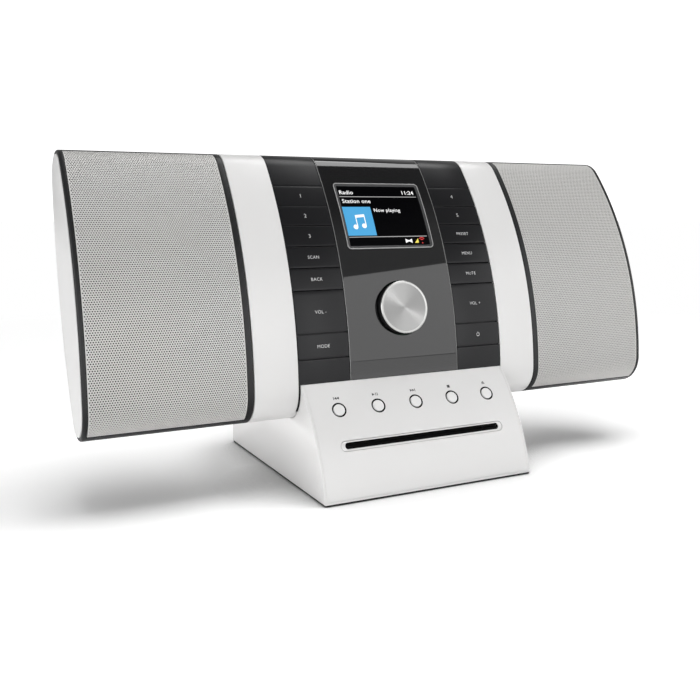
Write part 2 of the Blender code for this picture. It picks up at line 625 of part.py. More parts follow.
def enclosure(side, name):
    """Lens-section tub with a recessed front for driver and grille, and a pocket for the end cap."""
    def slab(outline, x_low, x_high):
        return side_prism(outline, side * x_low, side * x_high)

    outer = WIDTH / 2
    tub = slab(lens_outline(), SPEAKER_INNER, outer - CAP_PROUD)
    ledge, baffle, inner = 0.0018, 0.0080, 0.0110
    cut(tub, slab(skin_outline(-0.004, ledge, GRILLE_LOW, GRILLE_HIGH), GRILLE_INNER, GRILLE_OUTER))
    cut(tub, slab(skin_outline(0, baffle, GRILLE_LOW - 8, GRILLE_HIGH + 8), GRILLE_INNER + 0.003,
                  GRILLE_OUTER - 0.003))
    cavity = slab(lens_outline(0.003), SPEAKER_INNER + 0.003, outer - 0.006)
    axis = at(side * 0.17, FRONT_CENTRE.x, FRONT_CENTRE.y) @ ALONG_X
    combine(cavity, cylinder(FRONT_RADIUS - inner, -0.1, 0.1, axis, 120), "INTERSECT")
    cut(tub, cavity)
    place = face(FRONT_CENTRE, FRONT_RADIUS, DRIVER_ANGLE, side * DRIVER_X)
    join(tub, cylinder(0.0415, -0.0155, -0.0085, place, 28))
    cut(tub, cylinder(0.0391, -0.0091, 0.01, place, 28), cylinder(0.0340, -0.0350, 0.01, place, 28))
    cut(tub, slab(lens_outline(CAP_INSET - GAP), outer - 0.0031, outer + 0.01))
    finish(tub, name + "_speaker_enclosure", BLACK)


def speaker(side, name):
    enclosure(side, name)
    outer = WIDTH / 2
    cap = side_prism(lens_outline(CAP_INSET), side * (outer - 0.0028), side * outer)
    finish(cap, name + "_end_cap", WHITE)
    low, high = GRILLE_LOW - 1, GRILLE_HIGH + 1
    sheet = skin_outline(GAP, GAP + GRILLE_THICKNESS, low, high)
    grille = side_prism(sheet, side * (GRILLE_INNER + GAP), side * (GRILLE_OUTER - GAP))
    finish(grille, name + "_grille", STEEL)
    place = face(FRONT_CENTRE, FRONT_RADIUS, DRIVER_ANGLE, side * DRIVER_X)
    frame = (
        (0, -0.0285), (0.0120, -0.0285), (0.0320, -0.0120), (0.0320, -0.0063), (0.0385, -0.0063),
        (0.0385, -0.0088), (0.0335, -0.0088), (0.0335, -0.0125), (0.0240, -0.0260), (0.0240, -0.0400), (0, -0.0400),
    )
    finish(turned(frame, place), name + "_driver_frame", STEEL)
    cone = (
        (0, -0.0130), (0.0060, -0.0138), (0.0090, -0.0160), (0.0265, -0.0082), (0.0285, -0.0068),
        (0.0310, -0.0080), (0.0310, -0.0088), (0.0285, -0.0078), (0.0265, -0.0092), (0.0090, -0.0172),
        (0.0060, -0.0150), (0, -0.0142),
    )
    finish(turned(cone, place), name + "_driver_cone", PAPER)


base_shell()
base_plate()
feet()
jack_panel()
slot_bezel()
cd_chassis()
cd_drive()
cd_buttons()
housings()
fascia()
keys()
display()
knob()
boards()
speaker(-1, "left")
speaker(1, "right")
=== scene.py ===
"""The finished look of the mini hifi system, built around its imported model.

Metres, +Z up, front towards -Y. Outlines seen from the side are arrays of (y, z). An inset is a depth below
the body's outer surface. Places on the front are given as x and an elevation, the angle up the front arc.
"""
import math

import bmesh
import bpy
import numpy as np
from mathutils import Matrix, Vector


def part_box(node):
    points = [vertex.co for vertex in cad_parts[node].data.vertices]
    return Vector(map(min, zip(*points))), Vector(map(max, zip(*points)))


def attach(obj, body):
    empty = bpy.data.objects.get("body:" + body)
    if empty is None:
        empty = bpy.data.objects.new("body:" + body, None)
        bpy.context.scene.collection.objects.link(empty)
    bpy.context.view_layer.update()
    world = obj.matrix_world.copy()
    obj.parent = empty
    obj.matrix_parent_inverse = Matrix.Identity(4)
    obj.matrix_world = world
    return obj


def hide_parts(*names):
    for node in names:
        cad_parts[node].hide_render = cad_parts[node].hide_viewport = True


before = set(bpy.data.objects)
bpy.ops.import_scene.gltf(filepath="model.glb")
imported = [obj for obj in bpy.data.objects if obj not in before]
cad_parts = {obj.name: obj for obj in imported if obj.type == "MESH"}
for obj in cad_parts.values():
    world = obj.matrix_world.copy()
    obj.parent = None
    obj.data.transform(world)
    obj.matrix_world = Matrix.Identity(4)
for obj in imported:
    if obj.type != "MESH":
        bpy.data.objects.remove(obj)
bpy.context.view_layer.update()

GAP = 0.0003
NEVER_FLAT = 0.00001          # keeps a round end's radius just under half its width
PRINT_THICKNESS = 0.00003
CURVE_STEP = 0.003            # longest straight step of a flat outline laid up the curve
CURVED_FACE = 0.985           # cosine of the angle within which a face belongs to the curved surface
CAPITAL = 0.70                # height of a capital letter in units of the font's size

# Lens section of the body, the same arcs as in the CAD model
FRONT_CENTRE, FRONT_RADIUS = np.array((0.1972, 0.0642)), 0.2507
REAR_CENTRE, REAR_RADIUS = np.array((-0.2458, 0.2244)), 0.2876
TOP_RADIUS, BOTTOM_RADIUS = 0.0210, 0.0227

# Base
BASE_HALF_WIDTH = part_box("base_shell")[1][0]
BASE_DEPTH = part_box("base_shell")[1][1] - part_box("base_shell")[0][1]
BASE_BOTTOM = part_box("base_shell")[0][2]
BASE_FRONT = np.array((-BASE_DEPTH / 2, BASE_BOTTOM))
BASE_LIP = np.array((-0.0550, 0.0738))
BASE_BULGE = 0.0055
BASE_RIDGE = np.array((0.0220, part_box("base_shell")[1][2]))
BASE_REAR_HEIGHT = 0.0475
SADDLE_GAP = 0.0004
LEDGE_HEIGHT, LEDGE_DEPTH = 0.0016, 0.0007
GROOVE = 0.0003
WALL = 0.0025

# Centre unit
UNIT_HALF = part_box("front_housing")[1][0]
WINDOW_HALF = 0.0832
PANEL_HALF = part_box("centre_panel")[1][0]
PANEL_THICKNESS = 0.0022
KEY_INNER, KEY_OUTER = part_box("key_4")[0][0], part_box("key_4")[1][0]
FASCIA_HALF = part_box("right_key_frame")[1][0]
FASCIA_LOW, FASCIA_HIGH = 223.0, 71.0
KEY_ANGLES = (35.37, 31.43, 27.80, 24.15, 20.50, 16.82, 9.97, 6.00)
KEY_THICKNESS = 0.0018
KEY_GAP = 0.0004
KEY_TRIM = 0.00015            # taken off a key's ends, so that the gaps show
DIGIT_HEIGHT, WORD_HEIGHT = 0.0029, 0.0023
BLANK_DEPTH, PLATE_TOP, PLATE_DEPTH = 0.0030, 0.0029, 0.0045
KEY_LABELS = {
    "key_1": "1", "key_2": "2", "key_3": "3", "key_scan": "SCAN", "key_back": "BACK",
    "key_volume_down": "VOL -", "key_mode": "MODE",
    "key_4": "4", "key_5": "5", "key_preset": "PRESET", "key_menu": "MENU", "key_mute": "MUTE",
    "key_volume_up": "VOL +", "key_power": None,
}
DISPLAY_ANGLE, DISPLAY_SIZE, DISPLAY_CORNER = 29.80, (0.0712, 0.0549), 0.0025
GLASS_TOP, GLASS_BACK = 0.0006, 0.0018
STATUS_ANGLE = 24.85
KNOB_ANGLE, KNOB_RADIUS, KNOB_PROUD, KNOB_HOLE = 13.29, 0.0191, 0.0050, 0.0200
KNOB_BOSS, KNOB_BORE = 0.0055, 0.0033

# CD slot and buttons
SLOT_ANGLE, SLOT_SIZE = 26.15, (0.1235, 0.0042)
BEZEL_SIZE, BEZEL_THICKNESS = (0.1297, 0.0068), 0.0040
BUTTON_ANGLE, BUTTON_PITCH, BUTTON_RADIUS, BUTTON_HOLE = 35.6, 0.0300, 0.0044, 0.0053
SIGN_ANGLE = 38.8
CAP_TRIM, CAP_EDGE = 0.0003, 0.0005
BUTTON_NAMES = ("button_previous", "button_play_pause", "button_next", "button_stop", "button_eject")

# Back
VENT_ANGLES = (-3.0, -3.9, -4.8, -5.7, -6.6, -7.5)
VENT_SIZE, VENT_X = (0.036, 0.0018), 0.024
SCREW_ANGLES, SCREW_INSET = (-2.5, -30.0), 0.014
JACK_BORE = 0.0019
# (x, y, radius) of each collar
JACKS = {
    "jack_left": (-0.014, 0.0860, 0.0030), "jack_middle": (0.001, 0.0860, 0.0030),
    "jack_right": (0.016, 0.0860, 0.0030), "aerial": (0.033, 0.0925, 0.0045),
}

# Speakers
SPEAKER_INNER, SPEAKER_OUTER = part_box("right_speaker_enclosure")[0][0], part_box("right_speaker_enclosure")[1][0]
CAP_OUTER, CAP_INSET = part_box("right_end_cap")[1][0], 0.0027
GRILLE_INNER, GRILLE_OUTER = 0.1192, 0.2214
GRILLE_LOW, GRILLE_HIGH = 232.0, 104.0
HOLE_PITCH, HOLE_ROW, HOLE_RADIUS = 0.00158, 0.00146, 0.00054
SHEET_TOP, SHEET_BACK, SHEET_HEM, SHEET_BORDER = 0.00030, 0.00085, 0.0015, 0.0003
DRIVER_ANGLE = 18.8
BOSS_RADIUS, SEAT_RADIUS, OPENING_RADIUS = 0.0415, 0.0391, 0.0340
CAP_THICKNESS, CAP_SEAT = 0.0028, 0.0031
DRIVER_X = (GRILLE_INNER + GRILLE_OUTER) / 2


# ---- the body's outline ---------------------------------------------------------------------------

def direction(angle):
    return np.array((math.cos(math.radians(angle)), math.sin(math.radians(angle))))


def heading(start, end):
    step = end - start
    return (math.degrees(math.atan2(step[1], step[0])) + 90) % 360 - 90


def arc(centre, radius, start, end, steps):
    return [centre + direction(start + (end - start) * i / steps) * radius for i in range(steps + 1)]


def fillet_centre(radius, side):
    """Centre of the circle that touches both large arcs from inside; side is 1 above and -1 below."""
    span = REAR_CENTRE - FRONT_CENTRE
    length = np.linalg.norm(span)
    reach, other = FRONT_RADIUS - radius, REAR_RADIUS - radius
    along = (reach ** 2 - other ** 2 + length ** 2) / (2 * length)
    across = math.sqrt(reach ** 2 - along ** 2)
    unit = span / length
    return FRONT_CENTRE + unit * along + np.array((unit[1], -unit[0])) * across * side


TOP_CENTRE = fillet_centre(TOP_RADIUS, 1)
BOTTOM_CENTRE = fillet_centre(BOTTOM_RADIUS, -1)
FRONT_LOW, FRONT_HIGH = heading(FRONT_CENTRE, BOTTOM_CENTRE), heading(FRONT_CENTRE, TOP_CENTRE)
REAR_HIGH, REAR_LOW = heading(REAR_CENTRE, TOP_CENTRE), heading(REAR_CENTRE, BOTTOM_CENTRE)
SEAM_ANGLE = heading(BOTTOM_CENTRE, TOP_CENTRE)
SEAM_GAP = math.degrees(GAP / 2 / TOP_RADIUS)
FRONT_LENGTH = FRONT_RADIUS * math.radians(FRONT_LOW - FRONT_HIGH)

HALF_CHORD = np.linalg.norm(BASE_LIP - BASE_FRONT) / 2
BASE_RADIUS = (HALF_CHORD ** 2 + BASE_BULGE ** 2) / (2 * BASE_BULGE)
BASE_MIDDLE_ANGLE = heading(BASE_FRONT, BASE_LIP) + 90
BASE_HALF_ANGLE = math.degrees(math.asin(HALF_CHORD / BASE_RADIUS))
BASE_CENTRE = (BASE_FRONT + BASE_LIP) / 2 - direction(BASE_MIDDLE_ANGLE) * (BASE_RADIUS - BASE_BULGE)
RIDGE_SLOPE = (BASE_RIDGE[1] - BASE_REAR_HEIGHT) / (BASE_DEPTH / 2 - BASE_RIDGE[0])


def front_path(inset, low, high):
    """Along the front, from an angle on the bottom fillet to an angle on the top fillet."""
    return (
        arc(BOTTOM_CENTRE, BOTTOM_RADIUS - inset, low, FRONT_LOW, 14)
        + arc(FRONT_CENTRE, FRONT_RADIUS - inset, FRONT_LOW, FRONT_HIGH, 96)[1:]
        + arc(TOP_CENTRE, TOP_RADIUS - inset, FRONT_HIGH, high, 16)[1:]
    )


def along_front(low, high):
    return lambda inset: front_path(inset, low, high)


def rear_path(inset, high, low):
    """Along the back, from an angle on the top fillet to an angle on the bottom fillet."""
    return (
        arc(TOP_CENTRE, TOP_RADIUS - inset, high, REAR_HIGH, 14)
        + arc(REAR_CENTRE, REAR_RADIUS - inset, REAR_HIGH, REAR_LOW, 72)[1:]
        + arc(BOTTOM_CENTRE, BOTTOM_RADIUS - inset, REAR_LOW, low, 14)[1:]
    )


def lens_outline(inset=0.0):
    return front_path(inset, GRILLE_LOW, GRILLE_HIGH) + rear_path(inset, GRILLE_HIGH, GRILLE_LOW - 360)[1:-1]


def rise(elevation):
    """Distance up the front surface, from where the bottom fillet meets the front arc."""
    return FRONT_RADIUS * math.radians(elevation - (180 - FRONT_LOW))


def on_body(x, s, inset):
    """Points at x, a distance s up the front surface and an inset below it, as an (n, 3) array."""
    x, s, inset = np.broadcast_arrays(np.asarray(x, float), np.asarray(s, float), np.asarray(inset, float))
    low, high = s < 0, s > FRONT_LENGTH
    angle = FRONT_LOW - np.degrees(s / FRONT_RADIUS)
    angle = np.where(low, FRONT_LOW - np.degrees(s / BOTTOM_RADIUS), angle)
    angle = np.where(high, FRONT_HIGH - np.degrees((s - FRONT_LENGTH) / TOP_RADIUS), angle)
    radius = np.where(low, BOTTOM_RADIUS, np.where(high, TOP_RADIUS, FRONT_RADIUS)) - inset
    centre_y = np.where(low, BOTTOM_CENTRE[0], np.where(high, TOP_CENTRE[0], FRONT_CENTRE[0]))
    centre_z = np.where(low, BOTTOM_CENTRE[1], np.where(high, TOP_CENTRE[1], FRONT_CENTRE[1]))
    turn = np.radians(angle)
    return np.stack([x, centre_y + radius * np.cos(turn), centre_z + radius * np.sin(turn)], axis=-1)


def on_base(x, s, inset):
    """Points on the base's front, a distance s up it from its middle."""
    turn = np.radians(BASE_MIDDLE_ANGLE) - np.asarray(s, float) / BASE_RADIUS
    radius = BASE_RADIUS - np.asarray(inset, float)
    y = BASE_CENTRE[0] + radius * np.cos(turn)
    z = BASE_CENTRE[1] + radius * np.sin(turn)
    return np.stack(np.broadcast_arrays(np.asarray(x, float), y, z), axis=-1)


def base_rise(elevation):
    return BASE_RADIUS * math.radians(elevation - (180 - BASE_MIDDLE_ANGLE))


def face(centre, radius, elevation, x=0.0):
    """Placement on a front arc: local X is +X, local Y runs up the slope, local Z points outwards."""
    point = centre + direction(180 - elevation) * radius
    return Matrix.Translation((x, *point)) @ Matrix.Rotation(math.radians(90 - elevation), 4, "X")


def rear_face(angle, x=0.0):
    """Placement on the back's arc; local Z points outwards."""
    point = REAR_CENTRE + direction(angle) * REAR_RADIUS
    return Matrix.Translation((x, *point)) @ Matrix.Rotation(math.radians(angle - 90), 4, "X")


def at(x, y, z):
    return Matrix.Translation((x, y, z))


ALONG_X = Matrix(((0, 0, 1, 0), (1, 0, 0, 0), (0, 1, 0, 0), (0, 0, 0, 1)))
ALONG_Y = Matrix.Rotation(math.radians(-90), 4, "X")
UPRIGHT = Matrix.Rotation(math.radians(90), 4, "X")


# ---- materials ------------------------------------------------------------------------------------

def shader_nodes(name):
    material = bpy.data.materials.new(name)
    material.use_nodes = True
    tree = material.node_tree
    return material, tree, tree.nodes["Principled BSDF"]


def set_inputs(tree, node, inputs):
    """Give each input a value, or link it to another node's output."""
    for name, value in inputs.items():
        if isinstance(value, bpy.types.NodeSocket):
            tree.links.new(value, node.inputs[name])
        else:
            node.inputs[name].default_value = value
    return node


def add_node(tree, kind, inputs):
    return set_inputs(tree, tree.nodes.new("ShaderNode" + kind), inputs)


def own_space(tree):
    return tree.nodes.new("ShaderNodeTexCoord").outputs["Object"]


def add_noise(tree, scale, detail):
    inputs = {"Vector": own_space(tree), "Scale": scale, "Detail": detail}
    return add_node(tree, "TexNoise", inputs).outputs["Fac"]


def spread(tree, value, low, high):
    """Map a noise value to a range of numbers."""
    return add_node(tree, "MapRange", {"Value": value, "To Min": low, "To Max": high}).outputs["Result"]


def bumped(tree, value, depth):
    return add_node(tree, "Bump", {"Distance": depth, "Height": value}).outputs["Normal"]


def tinted(tree, colour, value, amount):
    """The colour, a little lighter and darker with the noise."""
    mix = tree.nodes.new("ShaderNodeMix")
    mix.data_type = "RGBA"
    darker, lighter = (*(c * (1 - amount) for c in colour), 1), (*(min(1.0, c * (1 + amount)) for c in colour), 1)
    return set_inputs(tree, mix, {"A": darker, "B": lighter, "Factor": value}).outputs["Result"]


def moulded(name, colour, roughness, specular=0.5, grain=0.0, grain_scale=1500.0, tint=0.02):
    """Moulded plastic or paint: slight tone and gloss variation, and a fine surface grain."""
    material, tree, shader = shader_nodes(name)
    cloud = add_noise(tree, 18.0, 2.0)
    set_inputs(tree, shader, {
        "Base Color": tinted(tree, colour, cloud, tint), "Specular IOR Level": specular,
        "Roughness": spread(tree, cloud, roughness * 0.9, roughness * 1.1)})
    if grain:
        set_inputs(tree, shader, {"Normal": bumped(tree, add_noise(tree, grain_scale, 2.0), grain)})
    return material


def metal(name, colour, roughness):
    """Metal with a fine cloudy finish."""
    material, tree, shader = shader_nodes(name)
    cloud = add_noise(tree, 400.0, 4.0)
    set_inputs(tree, shader, {
        "Base Color": tinted(tree, colour, cloud, 0.06), "Metallic": 1.0,
        "Roughness": spread(tree, cloud, roughness * 0.8, roughness * 1.25),
        "Normal": bumped(tree, cloud, 0.00001)})
    return material


def glowing(name, colour, strength=1.0):
    """A surface that gives light, its brightness slightly uneven."""
    material, tree, shader = shader_nodes(name)
    set_inputs(tree, shader, {
        "Base Color": (*(0.2 * c for c in colour), 1), "Roughness": 0.3, "Emission Color": (*colour, 1),
        "Emission Strength": spread(tree, add_noise(tree, 60.0, 2.0), 0.96 * strength, 1.04 * strength)})
    return material


def spun_aluminium():
    """Turned face: rings too fine to see stretch each highlight into a fan through the centre."""
    material, tree, shader = shader_nodes("spun_aluminium")
    tangent = tree.nodes.new("ShaderNodeTangent")
    tangent.direction_type, tangent.axis = "RADIAL", "Z"
    rings = add_node(tree, "TexWave", {"Vector": own_space(tree), "Scale": 900.0, "Distortion": 1.5})
    rings.wave_type, rings.rings_direction = "RINGS", "Z"
    set_inputs(tree, shader, {
        "Base Color": (0.18, 0.18, 0.178, 1), "Metallic": 1.0, "Roughness": 0.30, "Anisotropic": 0.85,
        "Tangent": tangent.outputs["Tangent"], "Normal": bumped(tree, rings.outputs["Fac"], 0.000002)})
    return material


WHITE = moulded("white_gloss_plastic", (0.74, 0.735, 0.73), 0.30, specular=0.35, grain=0.000004, grain_scale=900)
WHITE_CAP = moulded("white_button_plastic", (0.80, 0.795, 0.79), 0.34, specular=0.35)
BLACK = moulded("black_satin_plastic", (0.012, 0.012, 0.013), 0.34, grain=0.00001)
KEY_BLACK = moulded("black_key_plastic", (0.005, 0.005, 0.006), 0.31, specular=0.19, grain=0.000006)
GLOSS = moulded("piano_black", (0.006, 0.006, 0.0065), 0.03, specular=0.55, tint=0.0)
SCREEN = moulded("screen_glass", (0.001, 0.001, 0.0015), 0.05, specular=0.06, tint=0.0)
# Light grey of the display's raised rim: partly its own grey, partly a painted highlight of the light its chamfer
# catches
GREY_RIM_AND_HIGHLIGHT = moulded("display_rim_grey_and_highlight", (0.42, 0.42, 0.42), 0.25, specular=0.6)
SLOPE_GREY = moulded("display_slope_grey", (0.05, 0.05, 0.052), 0.22, specular=0.6)
# Grey of the thin strips along the gloss panel's edges: a painted highlight for its rounded edges
PAINTED_EDGE_HIGHLIGHT = moulded("panel_edge_painted_highlight", (0.24, 0.24, 0.24), 0.3, specular=0.6)
GRILLE_PAINT = moulded("silver_grille_paint", (0.58, 0.573, 0.558), 0.42, grain=0.00001, tint=0.03)
RIM_BLACK = moulded("black_rim_plastic", (0.008, 0.008, 0.0085), 0.40, specular=0.25, grain=0.00001)
CLOTH = moulded("black_acoustic_cloth", (0.010, 0.010, 0.010), 0.9, specular=0.1, grain=0.00006, grain_scale=2200)
RUBBER = moulded("foot_rubber", (0.02, 0.02, 0.02), 0.8, specular=0.3, grain=0.00003, grain_scale=800)
# Black felt of the disc slot's lips; the same black also paints the shade in the gaps round the buttons
FELT_AND_SHADE = moulded("slot_felt", (0.003, 0.003, 0.003), 0.95, specular=0.05, grain=0.00002, grain_scale=2500)
PRINT_DARK = moulded("dark_print", (0.03, 0.03, 0.03), 0.5)
PRINT_LIGHT = moulded("light_print", (0.72, 0.72, 0.72), 0.5)
STEEL = metal("zinc_steel", (0.56, 0.57, 0.58), 0.32)
BRIGHT = metal("polished_chamfer", (0.27, 0.27, 0.265), 0.2)
SPUN = spun_aluminium()
PAPER = moulded("cone_paper", (0.015, 0.015, 0.016), 0.85, grain=0.00008, grain_scale=600)
BOARD = moulded("circuit_board_green", (0.015, 0.10, 0.045), 0.4, tint=0.15)
UI_WHITE = glowing("screen_white", (0.90, 0.90, 0.90))
UI_GREY = glowing("screen_grey", (0.36, 0.36, 0.36))
UI_BLUE = glowing("screen_blue", (0.055, 0.33, 0.62))
UI_YELLOW = glowing("screen_yellow", (0.80, 0.66, 0.10))
UI_RED = glowing("screen_red", (0.60, 0.03, 0.03))


# ---- meshes ---------------------------------------------------------------------------------------

def new_object(name, data, place=Matrix()):
    piece = bpy.data.objects.new(name, data)
    bpy.context.scene.collection.objects.link(piece)
    piece.matrix_world = place
    bpy.context.view_layer.update()
    return piece


def mesh_object(name, points, faces, place=Matrix(), outwards=True):
    mesh = bpy.data.meshes.new(name)
    mesh.from_pydata([tuple(map(float, p)) for p in points], [], [tuple(f) for f in faces])
    if outwards:
        shape = bmesh.new()
        shape.from_mesh(mesh)
        bmesh.ops.recalc_face_normals(shape, faces=shape.faces)
        shape.to_mesh(mesh)
        shape.free()
    return new_object(name, mesh, place)


def done(piece, material, body="root", sharp=35):
    """Shade the piece, give it its material and tie it to a body."""
    piece.data.materials.clear()
    piece.data.materials.append(material)
    if piece.type == "MESH" and sharp:
        piece.data.shade_smooth()
        piece.data.set_sharp_from_angle(angle=math.radians(sharp))
    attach(piece, body)
    return piece


def rounded(corners, steps=4):
    """Closed outline from (u, v, radius) corners."""
    outline = []
    for i, (u, v, radius) in enumerate(corners):
        corner = Vector((u, v))
        back = (Vector(corners[i - 1][:2]) - corner).normalized()
        ahead = (Vector(corners[(i + 1) % len(corners)][:2]) - corner).normalized()
        half = back.angle(ahead) / 2
        if radius <= 0 or half > math.radians(88):
            outline.append((u, v))
            continue
        centre = corner + (back + ahead).normalized() * radius / math.sin(half)
        start, end = (corner + way * radius / math.tan(half) - centre for way in (back, ahead))
        swing = start.angle(end)
        for k in range(steps + 1):
            t = k / steps
            spoke = (start * math.sin((1 - t) * swing) + end * math.sin(t * swing)) / math.sin(swing)
            outline.append(tuple(centre + spoke))
    return outline


def rounded_rectangle(width, height, radius, steps=8):
    half_x, half_y = width / 2, height / 2
    return rounded([(half_x, -half_y, radius), (half_x, half_y, radius), (-half_x, half_y, radius),
                    (-half_x, -half_y, radius)], steps)


def strip_faces(rows, columns, closed=False):
    """Quads between rows of points; the columns go all the way round, and so do the rows if closed."""
    return [(i * columns + j, i * columns + (j + 1) % columns, (i + 1) % rows * columns + (j + 1) % columns,
             (i + 1) % rows * columns + j) for i in range(rows if closed else rows - 1) for j in range(columns)]


def round_ended(width, height, steps):
    return rounded_rectangle(width, height, height / 2 - NEVER_FLAT, steps)


def sweep(name, path, profile):
    """Carry a closed (x, inset) profile along the body's outline; path(inset) gives the outline's points."""
    lines = [path(inset) for _, inset in profile]
    rows, columns = len(lines[0]), len(profile)
    points = [(profile[j][0], *lines[j][i]) for i in range(rows) for j in range(columns)]
    ends = [tuple(range(columns)), tuple(range((rows - 1) * columns, rows * columns))]
    return mesh_object(name, points, strip_faces(rows, columns) + ends)


def mirrored_profile(profile, side):
    return [(side * x, inset) for x, inset in profile]


def slab_profile(x_low, x_high, depth, radius, top=0.0):
    """Slab between two x, its outer edges rounded."""
    return rounded([(x_low, depth, 0), (x_low, top, radius), (x_high, top, radius), (x_high, depth, 0)])


def turned(name, profile, place, segments=96, closed=False):
    """Solid of revolution about local Z from (radius, height) points."""
    count = len(profile)
    points, faces = [], []
    rings = []
    for radius, height in profile:
        if radius < 1e-7:
            rings.append([len(points)] * segments)
            points.append((0, 0, height))
        else:
            rings.append(list(range(len(points), len(points) + segments)))
            points += [(u, v, height) for u, v in disc(radius, segments)]
    for i in range(count if closed else count - 1):
        first, second = rings[i], rings[(i + 1) % count]
        for k in range(segments):
            corners = (first[k], first[(k + 1) % segments], second[(k + 1) % segments], second[k])
            faces.append(tuple(dict.fromkeys(corners)))
    return mesh_object(name, points, faces, place)


def prism(name, outline, thickness, place):
    """Flat outline of (local x, local y), half its thickness to each side of the placement's plane."""
    count = len(outline)
    points = [(u, v, h) for h in (-thickness / 2, thickness / 2) for u, v in outline]
    faces = [tuple(range(count)), tuple(range(count, 2 * count))]
    faces += [(i, (i + 1) % count, count + (i + 1) % count, count + i) for i in range(count)]
    return mesh_object(name, points, faces, place)


def side_prism(name, outline, x_from, x_to):
    return prism(name, outline, abs(x_to - x_from), at((x_from + x_to) / 2, 0, 0) @ ALONG_X)


def box(name, low, high, place=Matrix()):
    outline = [(low[0], low[1]), (high[0], low[1]), (high[0], high[1]), (low[0], high[1])]
    return prism(name, outline, high[2] - low[2], place @ at(0, 0, (low[2] + high[2]) / 2))


def cylinder(name, radius, low, high, place, segments=64):
    return turned(name, ((0, high), (radius, high), (radius, low), (0, low)), place, segments)


def apply_modifiers(piece):
    bpy.context.view_layer.update()
    mesh = bpy.data.meshes.new_from_object(piece.evaluated_get(bpy.context.evaluated_depsgraph_get()))
    piece.modifiers.clear()
    piece.data = mesh
    return piece


def combine(piece, other, operation):
    boolean = piece.modifiers.new("boolean", "BOOLEAN")
    boolean.operation = operation
    boolean.object = other
    apply_modifiers(piece)
    bpy.data.objects.remove(other)
    return piece


def cut(piece, *cutters):
    for cutter in cutters:
        combine(piece, cutter, "DIFFERENCE")
    return piece


def join(piece, *others):
    for other in others:
        combine(piece, other, "UNION")
    return piece


def merge(piece, *others):
    """Put the others' meshes into the first one, as separate shells."""
    shape = bmesh.new()
    for one in (piece, *others):
        mesh = one.data.copy()
        mesh.transform(piece.matrix_world.inverted() @ one.matrix_world)
        shape.from_mesh(mesh)
        bpy.data.meshes.remove(mesh)
    shape.to_mesh(piece.data)
    shape.free()
    for one in others:
        bpy.data.objects.remove(one)
    return piece


def bevel(piece, width, segments=3, angle=40):
    edge = piece.modifiers.new("edges", "BEVEL")
    edge.width = width
    edge.segments = segments
    edge.limit_method = "ANGLE"
    edge.angle_limit = math.radians(angle)
    edge.harden_normals = False
    return piece


def curved_shading(piece, normal_at):
    """Give every corner that lies on a curved surface that surface's own normal, whatever the faces there."""
    mesh = piece.data
    mesh.shade_smooth()
    mesh.set_sharp_from_angle(angle=math.radians(30))
    normals = [Vector(corner.vector) for corner in mesh.corner_normals]
    for polygon in mesh.polygons:
        if normal_at(polygon.center).dot(polygon.normal) > CURVED_FACE:
            for loop in polygon.loop_indices:
                normals[loop] = normal_at(mesh.vertices[mesh.loops[loop].vertex_index].co)
    mesh.normals_split_custom_set([tuple(n) for n in normals])
    return piece


def normal_from(centre):
    """Normal of a cylinder along X round a (y, z) centre, as a function of the point."""
    return lambda point: Vector((0, point[1] - centre[0], point[2] - centre[1])).normalized()


def drawn(name, shapes, surface, x, s, inset):
    """Flat polygons of (u, v) printed on a curved surface as one thin mesh."""
    points, faces = [], []
    for outline in shapes:
        first, count = len(points), len(outline)
        for depth in (inset, inset + PRINT_THICKNESS):
            u, v = np.array(outline).T
            points += list(surface(x + u, s + v, depth))
        faces.append(tuple(range(first, first + count)))
        faces.append(tuple(range(first + count, first + 2 * count))[::-1])
        faces += [(first + i, first + (i + 1) % count, first + count + (i + 1) % count, first + count + i)
                  for i in range(count)]
    return mesh_object(name, points, faces)


def lettering(name, text, size, surface, x, s, inset, align="CENTER", bold=0.0):
    """Words as a thin mesh that follows a curved surface; size is the height of a capital letter."""
    curve = bpy.data.curves.new(name, "FONT")
    curve.body = text
    curve.size = size / CAPITAL
    curve.align_x = align
    curve.offset = bold
    curve.resolution_u = 3
    curve.space_character = 1.06
    source = new_object(name + "_source", curve)
    mesh = bpy.data.meshes.new_from_object(source.evaluated_get(bpy.context.evaluated_depsgraph_get()))
    bpy.data.objects.remove(source)
    flat = np.array([v.co[:] for v in mesh.vertices])
    placed = surface(x + flat[:, 0], s + flat[:, 1] - size / 2, inset)
    for vertex, point in zip(mesh.vertices, placed):
        vertex.co = point
    return new_object(name, mesh)


def disc(radius, steps=32, u=0.0, v=0.0):
    return [(u + radius * math.cos(2 * math.pi * k / steps), v + radius * math.sin(2 * math.pi * k / steps))
            for k in range(steps)]


def rectangle(u_low, v_low, u_high, v_high):
    return [(u_low, v_low), (u_high, v_low), (u_high, v_high), (u_low, v_high)]


def ring_parts(outer, inner, steps=48, start=0.0, end=360.0):
    """A ring, or part of one, as quads."""
    parts = []
    for k in range(steps):
        a, b = (math.radians(start + (end - start) * (k + i) / steps) for i in (0, 1))
        parts.append([(inner * math.cos(a), inner * math.sin(a)), (outer * math.cos(a), outer * math.sin(a)),
                      (outer * math.cos(b), outer * math.sin(b)), (inner * math.cos(b), inner * math.sin(b))])
    return parts


# ---- base -----------------------------------------------------------------------------------------

